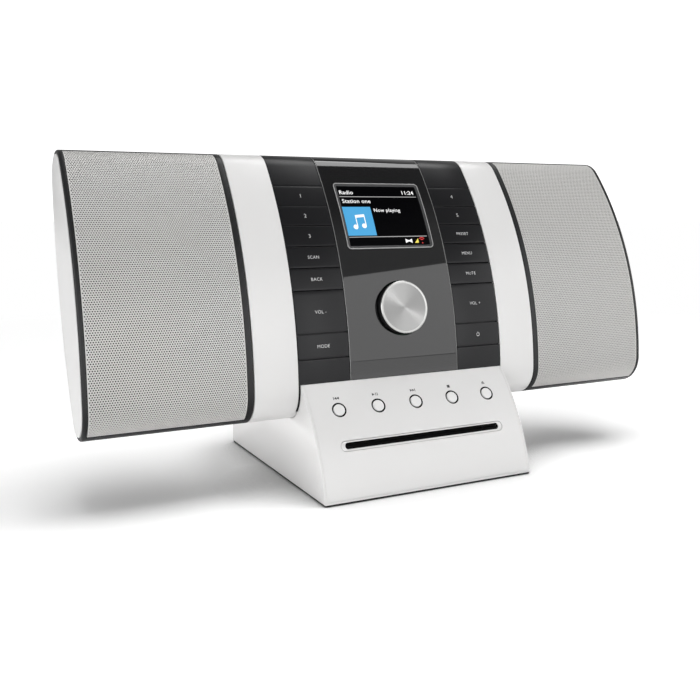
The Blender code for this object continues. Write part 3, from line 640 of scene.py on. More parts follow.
def base_outline(inset, bottom_angle):
    """Side view of the base, walls moved in by inset, starting up the front from an angle of its arc."""
    top_angle = BASE_MIDDLE_ANGLE - BASE_HALF_ANGLE
    front = arc(BASE_CENTRE, BASE_RADIUS - inset, bottom_angle, top_angle, 48)
    drop = inset * math.hypot(1, RIDGE_SLOPE)
    rear = BASE_DEPTH / 2 - inset
    ridge_top = BASE_RIDGE[1] if inset == 0 else BASE_RIDGE[1] + RIDGE_SLOPE * BASE_RIDGE[0] - drop
    outline = front + [np.array((0.0, front[-1][1])), np.array((0.0, ridge_top))]
    if inset == 0:
        outline.append(BASE_RIDGE)
    floor = BASE_BOTTOM if inset == 0 else front[0][1]
    return outline + [np.array((rear, BASE_REAR_HEIGHT - drop + RIDGE_SLOPE * inset)), np.array((rear, floor))]


def base_skin(bottom_angle):
    """The base's outline with a ledge along its front edge, where the front panel stands back."""
    outline = base_outline(0, bottom_angle)
    up = (outline[1] - outline[0]) / np.linalg.norm(outline[1] - outline[0])
    inwards = np.array((up[1], -up[0]))
    first = outline[0]
    ledge = [first, first + up * 0.0003, first + up * 0.0009 + inwards * LEDGE_DEPTH,
             first + up * LEDGE_HEIGHT + inwards * LEDGE_DEPTH, first + up * (LEDGE_HEIGHT + 0.0002)]
    reach = math.degrees((LEDGE_HEIGHT + 0.0003) / BASE_RADIUS)
    return ledge + base_outline(0, bottom_angle - reach)[:-1] + [outline[-1]]


def button_places():
    return [face(BASE_CENTRE, BASE_RADIUS, BUTTON_ANGLE, (i - 2) * BUTTON_PITCH) for i in range(5)]


def build_base():
    """White block under the lens with a saddle for it, open inside, and what is fitted to it."""
    bottom_angle = BASE_MIDDLE_ANGLE + BASE_HALF_ANGLE
    block = side_prism("base_body", base_skin(bottom_angle), -BASE_HALF_WIDTH, BASE_HALF_WIDTH)
    apply_modifiers(bevel(block, 0.0005, 3, 35))
    cut(block, side_prism("cutter", lens_outline(-SADDLE_GAP), -0.1, 0.1))
    inner = BASE_HALF_WIDTH - WALL
    cavity = side_prism("cavity", base_outline(WALL, bottom_angle + 5), -inner, inner)
    cut(cavity, side_prism("cutter", lens_outline(-SADDLE_GAP - WALL), -0.1, 0.1))
    cut(block, cavity)
    hole = round_ended(BEZEL_SIZE[0] + 2 * GAP, BEZEL_SIZE[1] + 2 * GAP, 8)
    cut(block, prism("cutter", hole, 0.03, face(BASE_CENTRE, BASE_RADIUS, SLOT_ANGLE)))
    for place in button_places():
        cut(block, cylinder("cutter", BUTTON_HOLE, -0.008, 0.008, place))
    jack_low, jack_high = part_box("jack_panel")
    cut(block, box("cutter", (jack_low[0] - GAP, jack_low[2] - GAP, -0.1),
                   (jack_high[0] + GAP, jack_high[2] + GAP, -0.085), UPRIGHT))
    for side in (-1, 1):
        x = side * (BASE_HALF_WIDTH - LEDGE_HEIGHT)
        depth = [arc(BASE_CENTRE, BASE_RADIUS + offset, bottom_angle, BASE_MIDDLE_ANGLE - BASE_HALF_ANGLE, 48)
                 for offset in (-GROOVE, 0.001)]
        cut(block, side_prism("cutter", depth[0] + depth[1][::-1], x - GROOVE / 2, x + GROOVE / 2))
    done(block, WHITE)
    curved_shading(block, normal_from(BASE_CENTRE))
    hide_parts("base_shell")
    base_only.objects.link(block)
    # Black band under the base's edges, in the gap above the floor: painted shade that stands in for the contact
    # shadow there
    half_x, half_y, top = BASE_HALF_WIDTH - 0.0006, BASE_DEPTH / 2 - 0.0006, BASE_BOTTOM + 0.0001
    shadow_band = box("painted_shadow_band", (-half_x, -half_y, 0.0003), (half_x, half_y, top))
    cut(shadow_band, box("cutter", (0.003 - half_x, 0.003 - half_y, -0.01), (half_x - 0.003, half_y - 0.003, 0.01)))
    done(shadow_band, RUBBER)
    build_bezel()
    build_jacks()
    build_buttons()
    for corner in ("front_left", "front_right", "rear_left", "rear_right"):
        paint("foot_" + corner, RUBBER)
    paint("base_plate", BLACK)


def build_jacks():
    """Metal collars round the three small jacks and the aerial socket."""
    low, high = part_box("jack_panel")
    level = (low[2] + high[2]) / 2
    for name, (x, y, radius) in JACKS.items():
        profile = ((JACK_BORE, 0), (JACK_BORE, 0.0004), (radius - 0.0002, 0.0004), (radius, 0.0002), (radius, 0))
        collar = turned(name + "_collar", profile, at(x, y, level) @ ALONG_Y, 48, closed=True)
        done(collar, STEEL)


def build_bezel():
    """White plate round the disc slot, and the dark felt lips inside it."""
    place = face(BASE_CENTRE, BASE_RADIUS, SLOT_ANGLE)
    plate = prism("slot_bezel_plate", round_ended(*BEZEL_SIZE, 16), BEZEL_THICKNESS,
                  place @ at(0, 0, -BEZEL_THICKNESS / 2 - 0.00015))
    apply_modifiers(bevel(plate, 0.00035, 3, 60))
    centre = place.translation
    level = at(0, centre.y, centre.z) @ UPRIGHT
    cut(plate, prism("cutter", round_ended(*SLOT_SIZE, 12), 0.04, level))
    done(plate, WHITE)
    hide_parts("slot_bezel")
    mouth = rounded_rectangle(SLOT_SIZE[0] - 0.0001, SLOT_SIZE[1] - 0.0001, SLOT_SIZE[1] / 2 - 0.0001, 12)
    felt = prism("slot_felt", mouth, 0.016, level)
    slab = prism("slab", rounded_rectangle(0.14, 0.02, 0.001), 0.0012, place @ at(0, 0, -0.0012))
    combine(felt, slab, "INTERSECT")
    cut(felt, prism("cutter", rounded_rectangle(0.1215, 0.0009, 0.0002), 0.04, at(0, 0.001, 0) @ level))
    done(felt, FELT_AND_SHADE)


def build_buttons():
    """Caps with a rounded rim, and printed signs above them."""
    radius = BUTTON_RADIUS - CAP_TRIM
    rim = [(radius - CAP_EDGE + CAP_EDGE * math.sin(t), -0.0001 + CAP_EDGE * math.cos(t))
           for t in np.linspace(0, math.pi / 2, 6)]
    flange, stem = 0.0064, 0.0020
    profile = [(0, 0.00045), (radius * 0.55, 0.0004)] + rim + [
        (radius, -0.0031), (flange, -0.0031), (flange, -0.0041), (stem, -0.0041), (stem, -0.0078), (0, -0.0078)]
    # Black ring in the gap round each cap: painted shade that stands in for the dark gap and the shadow the cap
    # casts
    shade_ring = ((radius + 0.0001, -0.0007), (BUTTON_HOLE - 0.00005, -0.0001), (BUTTON_HOLE - 0.00005, -0.0025),
              (radius + 0.0001, -0.0025))
    signs = {
        "button_previous": sign_skip(-1), "button_play_pause": sign_play_pause(), "button_next": sign_skip(1),
        "button_stop": [rectangle(-0.0011, -0.0011, 0.0011, 0.0011)], "button_eject": sign_eject(),
    }
    for name, place in zip(BUTTON_NAMES, button_places()):
        cap = turned(name + "_cap", profile, place, 64)
        done(cap, WHITE_CAP, name)
        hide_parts(name)
        # Black ring round the cap: painted shade
        done(turned(name + "_shade_ring", shade_ring, place, 64, closed=True), FELT_AND_SHADE)
        mark = drawn(name + "_sign", signs[name], on_base, place.translation.x, base_rise(SIGN_ANGLE), -0.00002)
        done(mark, PRINT_DARK, sharp=None)


def triangle(tip, height, u):
    """Triangle that points along u; tip is its signed length."""
    return [(u, -height), (u + tip, 0), (u, height)] if tip > 0 else [(u, height), (u + tip, 0), (u, -height)]


def sign_skip(way):
    height, length = 0.0011, 0.0018
    arrows = [triangle(way * length, height, way * (k * length - 0.0021)) for k in (0, 1)]
    bar = sorted((way * 0.0016, way * 0.0021))
    return arrows + [rectangle(bar[0], -height, bar[1], height)]


def sign_play_pause():
    height = 0.0011
    return [triangle(0.0020, height, -0.0024), rectangle(0.0002, -height, 0.0007, height),
            rectangle(0.0014, -height, 0.0019, height)]


def sign_eject():
    return [[(-0.0013, -0.0002), (0.0013, -0.0002), (0, 0.0013)], rectangle(-0.0013, -0.0011, 0.0013, -0.0006)]


# ---- centre unit ----------------------------------------------------------------------------------

def build_housings():
    """White bands at both sides of the fascia, a bridge under it, and the back."""
    seam_low, seam_high = SEAM_ANGLE + 180 - SEAM_GAP, SEAM_ANGLE + SEAM_GAP
    band = rounded([(WINDOW_HALF, WALL, 0), (WINDOW_HALF, 0, 0.0003), (UNIT_HALF, 0, 0.0007),
                    (UNIT_HALF, WALL, 0)])
    bands = [sweep("band", along_front(seam_low, seam_high), mirrored_profile(band, side))
             for side in (-1, 1)]
    half = WINDOW_HALF + 0.0004
    bridge = sweep("bridge",
                   lambda inset: arc(BOTTOM_CENTRE, BOTTOM_RADIUS - inset, seam_low, FASCIA_LOW + 1.2, 8),
                   slab_profile(-half, half, WALL, 0.0, 0.0001))
    front = merge(bands[0], bands[1], bridge)
    front.name = "front_shell"
    done(front, WHITE)
    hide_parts("front_housing")
    back = sweep("rear_shell", lambda inset: rear_path(inset, SEAM_ANGLE - SEAM_GAP, SEAM_ANGLE - 180 + SEAM_GAP),
                 slab_profile(-UNIT_HALF, UNIT_HALF, WALL, 0.0007))
    slots = [prism("slot", rounded_rectangle(*VENT_SIZE, 0.00085, 6), 0.012, rear_face(angle, x))
             for angle in VENT_ANGLES for x in (-VENT_X, VENT_X)]
    cut(back, merge(slots[0], *slots[1:]))
    done(back, WHITE)
    curved_shading(back, normal_from(REAR_CENTRE))
    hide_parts("rear_housing")


def key_spans():
    half_gap = KEY_GAP / 2
    return [(rise(low) + half_gap, rise(high) - half_gap) for high, low in zip(KEY_ANGLES, KEY_ANGLES[1:])]


def sector(low, high, steps):
    """Path along the front between two distances up it."""
    return lambda inset: [on_body(0, s, inset)[1:] for s in np.linspace(low, high, steps + 1)]


def build_keys():
    """Curved caps in two columns, each with its printed label."""
    names = list(KEY_LABELS)
    for side, group in ((-1, names[:7]), (1, names[7:])):
        for name, (low, high) in zip(group, key_spans()):
            profile = mirrored_profile(slab_profile(KEY_INNER, KEY_OUTER, KEY_THICKNESS, 0), side)
            key = sweep(name + "_cap", sector(low + KEY_TRIM, high - KEY_TRIM, 10), profile)
            apply_modifiers(bevel(key, 0.0002, 3))
            done(key, KEY_BLACK, name)
            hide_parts(name)
            middle_x, middle_s = side * (KEY_INNER + KEY_OUTER) / 2, (low + high) / 2
            if KEY_LABELS[name]:
                size = DIGIT_HEIGHT if KEY_LABELS[name].isdigit() else WORD_HEIGHT
                label = lettering(name + "_label", KEY_LABELS[name], size, on_body, middle_x, middle_s, -0.00003,
                                  bold=-0.00003)
            else:
                label = drawn(name + "_label", sign_power(), on_body, middle_x, middle_s, -0.00002)
            done(label, PRINT_LIGHT, name, sharp=None)


def sign_power():
    parts = ring_parts(0.0014, 0.0011, 28, 120, 420)
    return parts + [rectangle(-0.00016, 0.0003, 0.00016, 0.0018)]


def build_fascia():
    """Blank segments above and below the keys, the plate behind them, the gloss panel in the middle, and grey
    strips along its edges that are a painted highlight.
    """
    fillet_low = -BOTTOM_RADIUS * math.radians(FASCIA_LOW - FRONT_LOW)
    fillet_high = FRONT_LENGTH + TOP_RADIUS * math.radians(FRONT_HIGH - FASCIA_HIGH)
    first, last = rise(KEY_ANGLES[0]) + KEY_GAP / 2, rise(KEY_ANGLES[-1]) - KEY_GAP / 2
    for side, node in ((-1, "left_key_frame"), (1, "right_key_frame")):
        solid = mirrored_profile(slab_profile(KEY_INNER, FASCIA_HALF, BLANK_DEPTH, 0), side)
        blanks = []
        for low, high, steps in ((first, fillet_high, 40), (fillet_low, last, 30)):
            blank = sweep("blank", sector(low, high, steps), solid)
            blanks.append(apply_modifiers(bevel(blank, 0.00022, 3)))
        plate = mirrored_profile(slab_profile(KEY_INNER, FASCIA_HALF, PLATE_DEPTH, 0, PLATE_TOP), side)
        back = sweep("plate", sector(fillet_low, fillet_high, 90), plate)
        whole = merge(blanks[0], blanks[1], back)
        whole.name = node + "_moulding"
        done(whole, KEY_BLACK)
        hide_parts(node)
    panel = sweep("centre_panel_gloss", along_front(FASCIA_LOW, FASCIA_HIGH),
                  slab_profile(-PANEL_HALF, PANEL_HALF, PANEL_THICKNESS, 0.0009))
    window = rounded_rectangle(DISPLAY_SIZE[0] + 2 * GAP, DISPLAY_SIZE[1] + 2 * GAP, DISPLAY_CORNER + GAP)
    cut(panel, prism("cutter", window, 0.02, face(FRONT_CENTRE, FRONT_RADIUS, DISPLAY_ANGLE)),
        cylinder("cutter", KNOB_HOLE, -0.01, 0.01, face(FRONT_CENTRE, FRONT_RADIUS, KNOB_ANGLE), 128))
    done(panel, GLOSS)
    curved_shading(panel, normal_from(FRONT_CENTRE))
    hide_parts("centre_panel")
    # Thin grey strips along the panel's long edges: a painted highlight that stands in for the light its rounded
    # edges catch
    for side, name in ((-1, "panel_painted_highlight_left"), (1, "panel_painted_highlight_right")):
        line = slab_profile(PANEL_HALF - 0.0004, PANEL_HALF - 0.0001, 0.0008, 0, -0.00002)
        edge = sweep(name, along_front(FASCIA_LOW - 4, FASCIA_HIGH + 6), mirrored_profile(line, side))
        done(edge, PAINTED_EDGE_HIGHLIGHT)


def build_display():
    """Dark glass with its rim and what it shows."""
    width, height = DISPLAY_SIZE
    middle = rise(DISPLAY_ANGLE)

    def plate(name, outline, top, depth, material, slot=None):
        """Flat outline laid on the front as a thin slab, cut fine enough along the slope to follow it."""
        steps = 48
        low = min(v for _, v in outline)
        high = max(v for _, v in outline)
        rows = []
        for v in np.linspace(low, high, steps + 1):
            level = min(max(v, low + 1e-6), high - 1e-6)
            crossings = []
            for (u0, v0), (u1, v1) in zip(outline, outline[1:] + outline[:1]):
                if (v0 - level) * (v1 - level) < 0:
                    crossings.append(u0 + (u1 - u0) * (level - v0) / (v1 - v0))
            rows.append((v, min(crossings), max(crossings)))
        points = [on_body(u, middle + v, inset) for v, left, right in rows
                  for u, inset in ((left, top), (right, top), (right, depth), (left, depth))]
        ends = [(0, 1, 2, 3), (4 * steps, 4 * steps + 1, 4 * steps + 2, 4 * steps + 3)]
        return done(mesh_object(name, points, strip_faces(steps + 1, 4) + ends), material)

    glass = plate("display_glass", rounded_rectangle(width, height, DISPLAY_CORNER), GLASS_TOP, GLASS_BACK,
                  SCREEN, "display_window")
    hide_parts("display_lens")
    display_frame(middle)
    screen_content()
    paint("display_module", BLACK)


def display_frame(middle):
    """Raised rim round the window: a thin light grey line outside, lightened partly as a painted highlight, and a
    dark slope down to the screen.
    """
    outer, inner, bottom = 0.00055, 0.0024, 0.0010
    light = ((0.0, bottom), (0.0, -0.00010), (0.00015, -0.00018), (0.00040, -0.00018), (outer, -0.00010),
             (outer, bottom))
    slope = ((outer, bottom), (outer, -0.00005), (0.0008, -0.00005), (0.0022, 0.00052), (inner, 0.00056),
             (inner, bottom))
    display_ring("display_rim", middle, light, GREY_RIM_AND_HIGHLIGHT)
    display_ring("display_slope", middle, slope, SLOPE_GREY)


def display_ring(name, middle, section, material):
    """Ring round the window from (distance in from the window's edge, inset) points."""
    width, height = DISPLAY_SIZE
    rings = []
    for distance, inset in section:
        corner = DISPLAY_CORNER + 0.0006 - distance
        outline = rounded_rectangle(width - 2 * distance, height - 2 * distance, corner)
        ring = []
        for (u0, v0), (u1, v1) in zip(outline, outline[1:] + outline[:1]):
            pieces = max(1, round(abs(v1 - v0) / CURVE_STEP))
            ring += [(u0 + (u1 - u0) * k / pieces, v0 + (v1 - v0) * k / pieces) for k in range(pieces)]
        rings.append((ring, inset))
    count = len(rings[0][0])
    points = [on_body(u, middle + v, inset) for ring, inset in rings for u, v in ring]
    done(mesh_object(name, points, strip_faces(len(rings), count, True)), material, sharp=25)


def screen_content():
    """A made-up radio screen: source, clock, station name, a tile with a note, and status signs."""
    inset = GLASS_TOP - 0.00004
    left, right = -0.0322, 0.0318

    def put(name, shapes, material, u=0.0, elevation=DISPLAY_ANGLE):
        fine = []
        for outline in shapes:
            fine += split_rows(outline)
        done(drawn("screen_" + name, fine, on_body, u, rise(elevation), inset), material, sharp=None)

    def words(name, text, size, u, elevation, align, bold=0.00004):
        label = lettering("screen_" + name, text, size, on_body, u, rise(elevation), inset, align, bold)
        done(label, UI_WHITE, sharp=None)

    words("source", "Radio", 0.0033, left, 34.25, "LEFT", 0.00006)
    words("clock", "11:24", 0.0033, right - 0.0012, 34.25, "RIGHT", 0.00006)
    put("line_upper", [rectangle(left - 0.0005, -0.00028, right, 0.00028)], UI_GREY, 0, 33.37)
    words("station", "Station one", 0.0033, left + 0.0006, 32.5, "LEFT", 0.00005)
    tile_width, tile_low, tile_high = 0.0230, 25.95, 31.35
    tile_middle = (tile_low + tile_high) / 2
    tile_half = (rise(tile_high) - rise(tile_low)) / 2
    put("tile", [rectangle(0, -tile_half, tile_width, tile_half)], UI_BLUE, left - 0.0008, tile_middle)
    inset -= 0.00004
    put("tile_note", note_shapes(), UI_WHITE, left - 0.0008 + tile_width / 2, tile_middle)
    words("playing", "Now playing", 0.0029, left + tile_width + 0.0014, 30.7, "LEFT", 0.00004)
    put("line_lower", [rectangle(left - 0.0005, -0.00028, right, 0.00028)], UI_GREY, 0, 25.68)
    put("sign_speaker", [[(-0.0028, -0.0017), (-0.0006, -0.0006), (-0.0006, 0.0006), (-0.0028, 0.0017)],
                         [(0.0028, 0.0017), (0.0006, 0.0006), (0.0006, -0.0006), (0.0028, -0.0017)],
                         rectangle(-0.0007, -0.0006, 0.0007, 0.0006)], UI_WHITE, 0.0157, STATUS_ANGLE)
    put("sign_signal", [[(-0.0018, -0.0017), (0.0016, -0.0017), (0.0016, 0.0019)]], UI_YELLOW, 0.0222,
        STATUS_ANGLE)
    put("sign_network", [disc(0.0005, 12, 0.0, -0.0014)] + ring_parts(0.0018, 0.0011, 10, 45, 135)
        + ring_parts(0.0032, 0.0025, 12, 45, 135), UI_RED, 0.0270, STATUS_ANGLE - 0.1)


def split_rows(outline):
    """A rectangle cut into rows low enough to follow the curve; any other shape as it is."""
    if len(outline) != 4 or outline[0][1] != outline[1][1]:
        return [outline]
    (u_low, v_low), (u_high, v_high) = outline[0], outline[2]
    rows = max(1, round((v_high - v_low) / CURVE_STEP))
    edges = np.linspace(v_low, v_high, rows + 1)
    return [rectangle(u_low, a, u_high, b) for a, b in zip(edges, edges[1:])]


def note_shapes():
    """Two beamed notes."""
    heads = [disc(0.0019, 20, u, v) for u, v in ((-0.0040, -0.0048), (0.0030, -0.0040))]
    stems = [rectangle(-0.0028, -0.0048, -0.0021, 0.0046), rectangle(0.0042, -0.0040, 0.0049, 0.0054)]
    beam = [(-0.0028, 0.0026), (0.0049, 0.0034), (0.0049, 0.0056), (-0.0028, 0.0048)]
    return heads + stems + [beam]


def build_knob():
    """Turned face with a bright rim and a black side, and the skirt under it that reaches into the panel."""
    place = face(FRONT_CENTRE, FRONT_RADIUS, KNOB_ANGLE)
    top, under = KNOB_PROUD, 0.0022
    edge = KNOB_RADIUS - 0.0005
    band = KNOB_RADIUS * 0.90
    disc_face = [(0, top - 0.00006), (band, top - 0.00006), (band, top - 0.0008), (0, top - 0.0008)]
    cap = turned("knob_face", disc_face, place, 128)
    done(cap, SPUN, "knob")
    knob_only.objects.link(cap)
    rim = [(band + 0.00002, top - 0.0008), (band + 0.00002, top - 0.00003), (band + 0.00015, top), (edge, top),
           (KNOB_RADIUS - 0.0001, top - 0.0003), (KNOB_RADIUS, top - 0.0006), (KNOB_RADIUS, top - 0.0008)]
    ring = turned("knob_rim", rim, place, 128, closed=True)
    done(ring, BRIGHT, "knob", 20)
    side = cylinder("knob_cap_side", KNOB_RADIUS - 0.0001, under, top - 0.0009, place, 128)
    done(side, BLACK, "knob")
    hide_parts("knob_cap")
    skirt_top, radius = under - GAP, KNOB_RADIUS - 0.0004
    skirt = [(0, skirt_top), (radius - 0.0002, skirt_top), (radius, skirt_top - 0.0002), (radius, -0.0033),
             (radius - 0.0002, -0.0035), (radius - 0.0015, -0.0035), (radius - 0.0015, 0), (KNOB_BOSS, 0),
             (KNOB_BOSS, -0.0062), (KNOB_BORE, -0.0062), (KNOB_BORE, 0), (0, 0)]
    body = turned("knob_side", skirt, place, 128)
    done(body, BLACK, "knob")
    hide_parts("knob_skirt")


# ---- speakers -------------------------------------------------------------------------------------

def build_enclosure(side, name):
    """Black tub: rims at both ends, plain back, and a stepped recess for the grille and driver."""
    ledge, baffle, inner = 0.0018, 0.0080, 0.0110
    step_in = 0.003
    recess = rounded([
        (CAP_OUTER - CAP_SEAT, inner, 0), (CAP_OUTER - CAP_SEAT, CAP_INSET - GAP, 0),
        (SPEAKER_OUTER, CAP_INSET - GAP, 0.0003), (SPEAKER_OUTER, 0, 0.0016), (GRILLE_OUTER, 0, 0.0003),
        (GRILLE_OUTER, ledge, 0), (GRILLE_OUTER - step_in, ledge, 0), (GRILLE_OUTER - step_in, baffle, 0),
        (GRILLE_INNER + step_in, baffle, 0), (GRILLE_INNER + step_in, ledge, 0), (GRILLE_INNER, ledge, 0),
        (GRILLE_INNER, 0, 0.0003), (SPEAKER_INNER, 0, 0.0007), (SPEAKER_INNER, inner, 0),
    ])
    margin = 0.0005
    plain = [(x, 0.0 if GRILLE_INNER - margin < x < GRILLE_OUTER + margin else inset) for x, inset in recess[:-1]]
    plain.append(recess[-1])
    columns = len(recess)

    def rows_of(profile, path):
        lines = [path(inset) for _, inset in profile]
        return [[(side * profile[j][0], *lines[j][i]) for j in range(columns)] for i in range(len(lines[0]))]

    rows = rows_of(recess, along_front(GRILLE_LOW, GRILLE_HIGH))
    rows += rows_of(plain, lambda inset: rear_path(inset, GRILLE_HIGH, GRILLE_LOW - 360))
    points = [point for row in rows for point in row]
    tub = mesh_object(name + "_enclosure_shell", points, strip_faces(len(rows), columns, True))
    shape = bmesh.new()
    shape.from_mesh(tub.data)
    bmesh.ops.remove_doubles(shape, verts=shape.verts, dist=1e-7)
    bmesh.ops.dissolve_degenerate(shape, edges=shape.edges, dist=1e-7)
    bmesh.ops.recalc_face_normals(shape, faces=shape.faces)
    shape.to_mesh(tub.data)
    shape.free()
    place = face(FRONT_CENTRE, FRONT_RADIUS, DRIVER_ANGLE, side * DRIVER_X)
    join(tub, cylinder("boss", BOSS_RADIUS, -0.0155, -0.0085, place))
    cut(tub, cylinder("seat", SEAT_RADIUS, -0.0091, 0.01, place),
        cylinder("hole", OPENING_RADIUS, -0.0350, 0.01, place))
    done(tub, RIM_BLACK)
    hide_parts(name + "_speaker_enclosure")
    cap = side_prism(name + "_end_cap_shell", lens_outline(CAP_INSET), side * (CAP_OUTER - CAP_THICKNESS),
                     side * CAP_OUTER)
    apply_modifiers(bevel(cap, 0.0005, 4, 60))
    done(cap, WHITE)
    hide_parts(name + "_end_cap")


def build_screws(side, name):
    """Cross-head screws that close the tub from behind."""
    profile = ((0, 0.0007), (0.0014, 0.0006), (0.0024, 0.0002), (0.0026, -0.0006), (0, -0.0006))
    for row, angle in zip(("upper", "lower"), SCREW_ANGLES):
        for end, x in (("inner", SPEAKER_INNER + SCREW_INSET), ("outer", SPEAKER_OUTER - SCREW_INSET)):
            place = rear_face(angle, side * x)
            head = turned(f"{name}_screw_{row}_{end}", profile, place, 32)
            for turn in (0, 90):
                cut(head, box("cutter", (-0.0015, -0.0003, 0.0), (0.0015, 0.0003, 0.002),
                              place @ Matrix.Rotation(math.radians(turn + 20), 4, "Z")))
            done(head, STEEL)


def grille_faces():
    """Flat (x, s, inset) points and faces of the sheet, six-sided holes in staggered rows, and its middle s."""
    x_low, x_high = GRILLE_INNER + GAP, GRILLE_OUTER - GAP
    s_low = -BOTTOM_RADIUS * math.radians(GRILLE_LOW - 1 - FRONT_LOW)
    s_high = FRONT_LENGTH + TOP_RADIUS * math.radians(FRONT_HIGH - GRILLE_HIGH - 1)
    border, top, depth, hem = SHEET_BORDER, SHEET_TOP, SHEET_BACK, SHEET_HEM
    width, length = x_high - x_low - 2 * border, s_high - s_low - 2 * border
    columns, rows = int((width - HOLE_PITCH / 2) / HOLE_PITCH), int(length / HOLE_ROW)
    pitch, height = width / (columns + 0.5), length / rows
    first_x, first_s = x_low + border, s_low + border
    around = [(0.5, 0), (0.5, 0.5), (0, 0.5), (-0.5, 0.5), (-0.5, 0), (-0.5, -0.5), (0, -0.5), (0.5, -0.5)]
    # each side of the six-sided hole is joined to these corners of its cell
    links = ((0, 1), (1, 2, 3), (3, 4), (4, 5), (5, 6, 7), (7, 0))
    flat, faces, seen = [], [], {}

    def vertex(x, s, inset):
        key = (round(x * 1e6), round(s * 1e6), round(inset * 1e6))
        if key not in seen:
            seen[key] = len(flat)
            flat.append((x, s, inset))
        return seen[key]

    def wall(x0, s0, x1, s1):
        faces.append((vertex(x0, s0, top), vertex(x1, s1, top), vertex(x1, s1, hem), vertex(x0, s0, hem)))

    def strip(x0, x1, s0, s1):
        faces.append(tuple(vertex(x, s, top) for x, s in rectangle(x0, s0, x1, s1)))

    for r in range(rows):
        centre_s = first_s + (r + 0.5) * height
        shift = (r % 2) * pitch / 2
        for c in range(columns):
            centre_x = first_x + shift + (c + 0.5) * pitch
            edge = [vertex(centre_x + u * pitch, centre_s + v * height, top) for u, v in around]
            hole = disc(HOLE_RADIUS, 6, centre_x, centre_s)
            upper = [vertex(x, s, top) for x, s in hole]
            lower = [vertex(x, s, depth) for x, s in hole]
            for k, link in enumerate(links):
                m = (k + 1) % 6
                faces.append((upper[m], upper[k], *(edge[i] for i in link)))
                faces.append((lower[k], upper[k], upper[m], lower[m]))
        blank = first_x if shift else first_x + columns * pitch
        levels = (centre_s - height / 2, centre_s, centre_s + height / 2)
        for s0, s1 in zip(levels, levels[1:]):
            strip(blank, blank + pitch / 2, s0, s1)
            strip(x_low, first_x, s0, s1)
            strip(x_high - border, x_high, s0, s1)
            wall(x_low, s1, x_low, s0)
            wall(x_high, s0, x_high, s1)
    marks = [x_low] + [first_x + k * pitch / 2 for k in range(2 * columns + 2)] + [x_high]
    for s0, s1 in ((s_low, first_s), (s_high - border, s_high)):
        for x0, x1 in zip(marks, marks[1:]):
            strip(x0, x1, s0, s1)
        wall(x_low, s1, x_low, s0)
        wall(x_high, s0, x_high, s1)
    for x0, x1 in zip(marks, marks[1:]):
        wall(x0, s_low, x1, s_low)
        wall(x1, s_high, x0, s_high)
    return flat, faces, first_s + rows // 2 * height


def build_grille(side, name):
    """Perforated sheet in two halves, folded in at its edges, with the dark cloth behind it."""
    flat, faces, middle = grille_faces()
    x, s, inset = np.array(flat).T
    points = on_body(x, s, inset)
    if side < 0:
        points[:, 0] *= -1
        faces = [f[::-1] for f in faces]
    upper = [max(s[i] for i in f) > middle + 1e-6 for f in faces]
    for part, wanted in (("lower", False), ("upper", True)):
        chosen = [f for f, above in zip(faces, upper) if above == wanted]
        used = sorted({i for f in chosen for i in f})
        place = {old: new for new, old in enumerate(used)}
        sheet = mesh_object(f"{name}_grille_sheet_{part}", points[used],
                            [[place[i] for i in f] for f in chosen], outwards=False)
        done(sheet, GRILLE_PAINT, sharp=40)
        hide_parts(name + "_grille")
    low, high = GRILLE_INNER + 0.0008, GRILLE_OUTER - 0.0008
    cloth = sweep(name + "_grille_cloth", along_front(GRILLE_LOW - 2, GRILLE_HIGH + 2),
                  mirrored_profile([(low, 0.0013), (low, 0.0016), (high, 0.0016), (high, 0.0013)], side))
    done(cloth, CLOTH)


# ---- carried-over nodes ---------------------------------------------------------------------------

def paint(node, material):
    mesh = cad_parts[node].data
    mesh.materials.clear()
    mesh.materials.append(material)


def paint_inner():
    for node in ("cd_chassis", "cd_spindle_motor", "cd_guide_rod", "cd_lead_screw", "encoder_body",
                 "encoder_rotor", "encoder_shaft", "left_driver_frame", "right_driver_frame"):
        paint(node, STEEL)
    for node in ("cd_turntable", "cd_pickup", "jack_panel"):
        paint(node, BLACK)
    for node in ("key_board", "cd_button_board", "main_board"):
        paint(node, BOARD)
    for node in ("left_driver_cone", "right_driver_cone"):
        paint(node, PAPER)
    paint("cd_feed_roller", RUBBER)


# ---- studio ---------------------------------------------------------------------------------------

FLOOR_TONE, FLOOR_REACH = 1.38, 15
SHADOW_PAINT_DISTANCE = 0.065      # how near the object the floor's colour is darkened: a painted contact shadow
FADE_START, FADE_END = 0.5, 1.1
BACKDROP_RADIUS, BACKDROP_HEIGHT, BACKDROP_SIDES = 14, 12, 48
# (height of the direction, grey) of the room seen in reflections, from straight down to straight up
ROOM_GREYS = ((0.0, 0.38), (0.45, 0.5), (0.53, 0.42), (0.68, 0.40), (0.80, 0.15), (0.91, 0.15), (0.94, 0.5))
knob_only = bpy.data.collections.new("knob_only")
base_only = bpy.data.collections.new("base_only")


def build_backdrop():
    count = BACKDROP_SIDES
    points = [(u, v, z) for z in (0, BACKDROP_HEIGHT) for u, v in disc(BACKDROP_RADIUS, count)]
    backdrop = mesh_object("backdrop", points, strip_faces(2, count), outwards=False)
    backdrop.data.materials.append(glowing("backdrop_white", (1, 1, 1), 1.1))
    backdrop.visible_diffuse = backdrop.visible_glossy = backdrop.visible_shadow = False


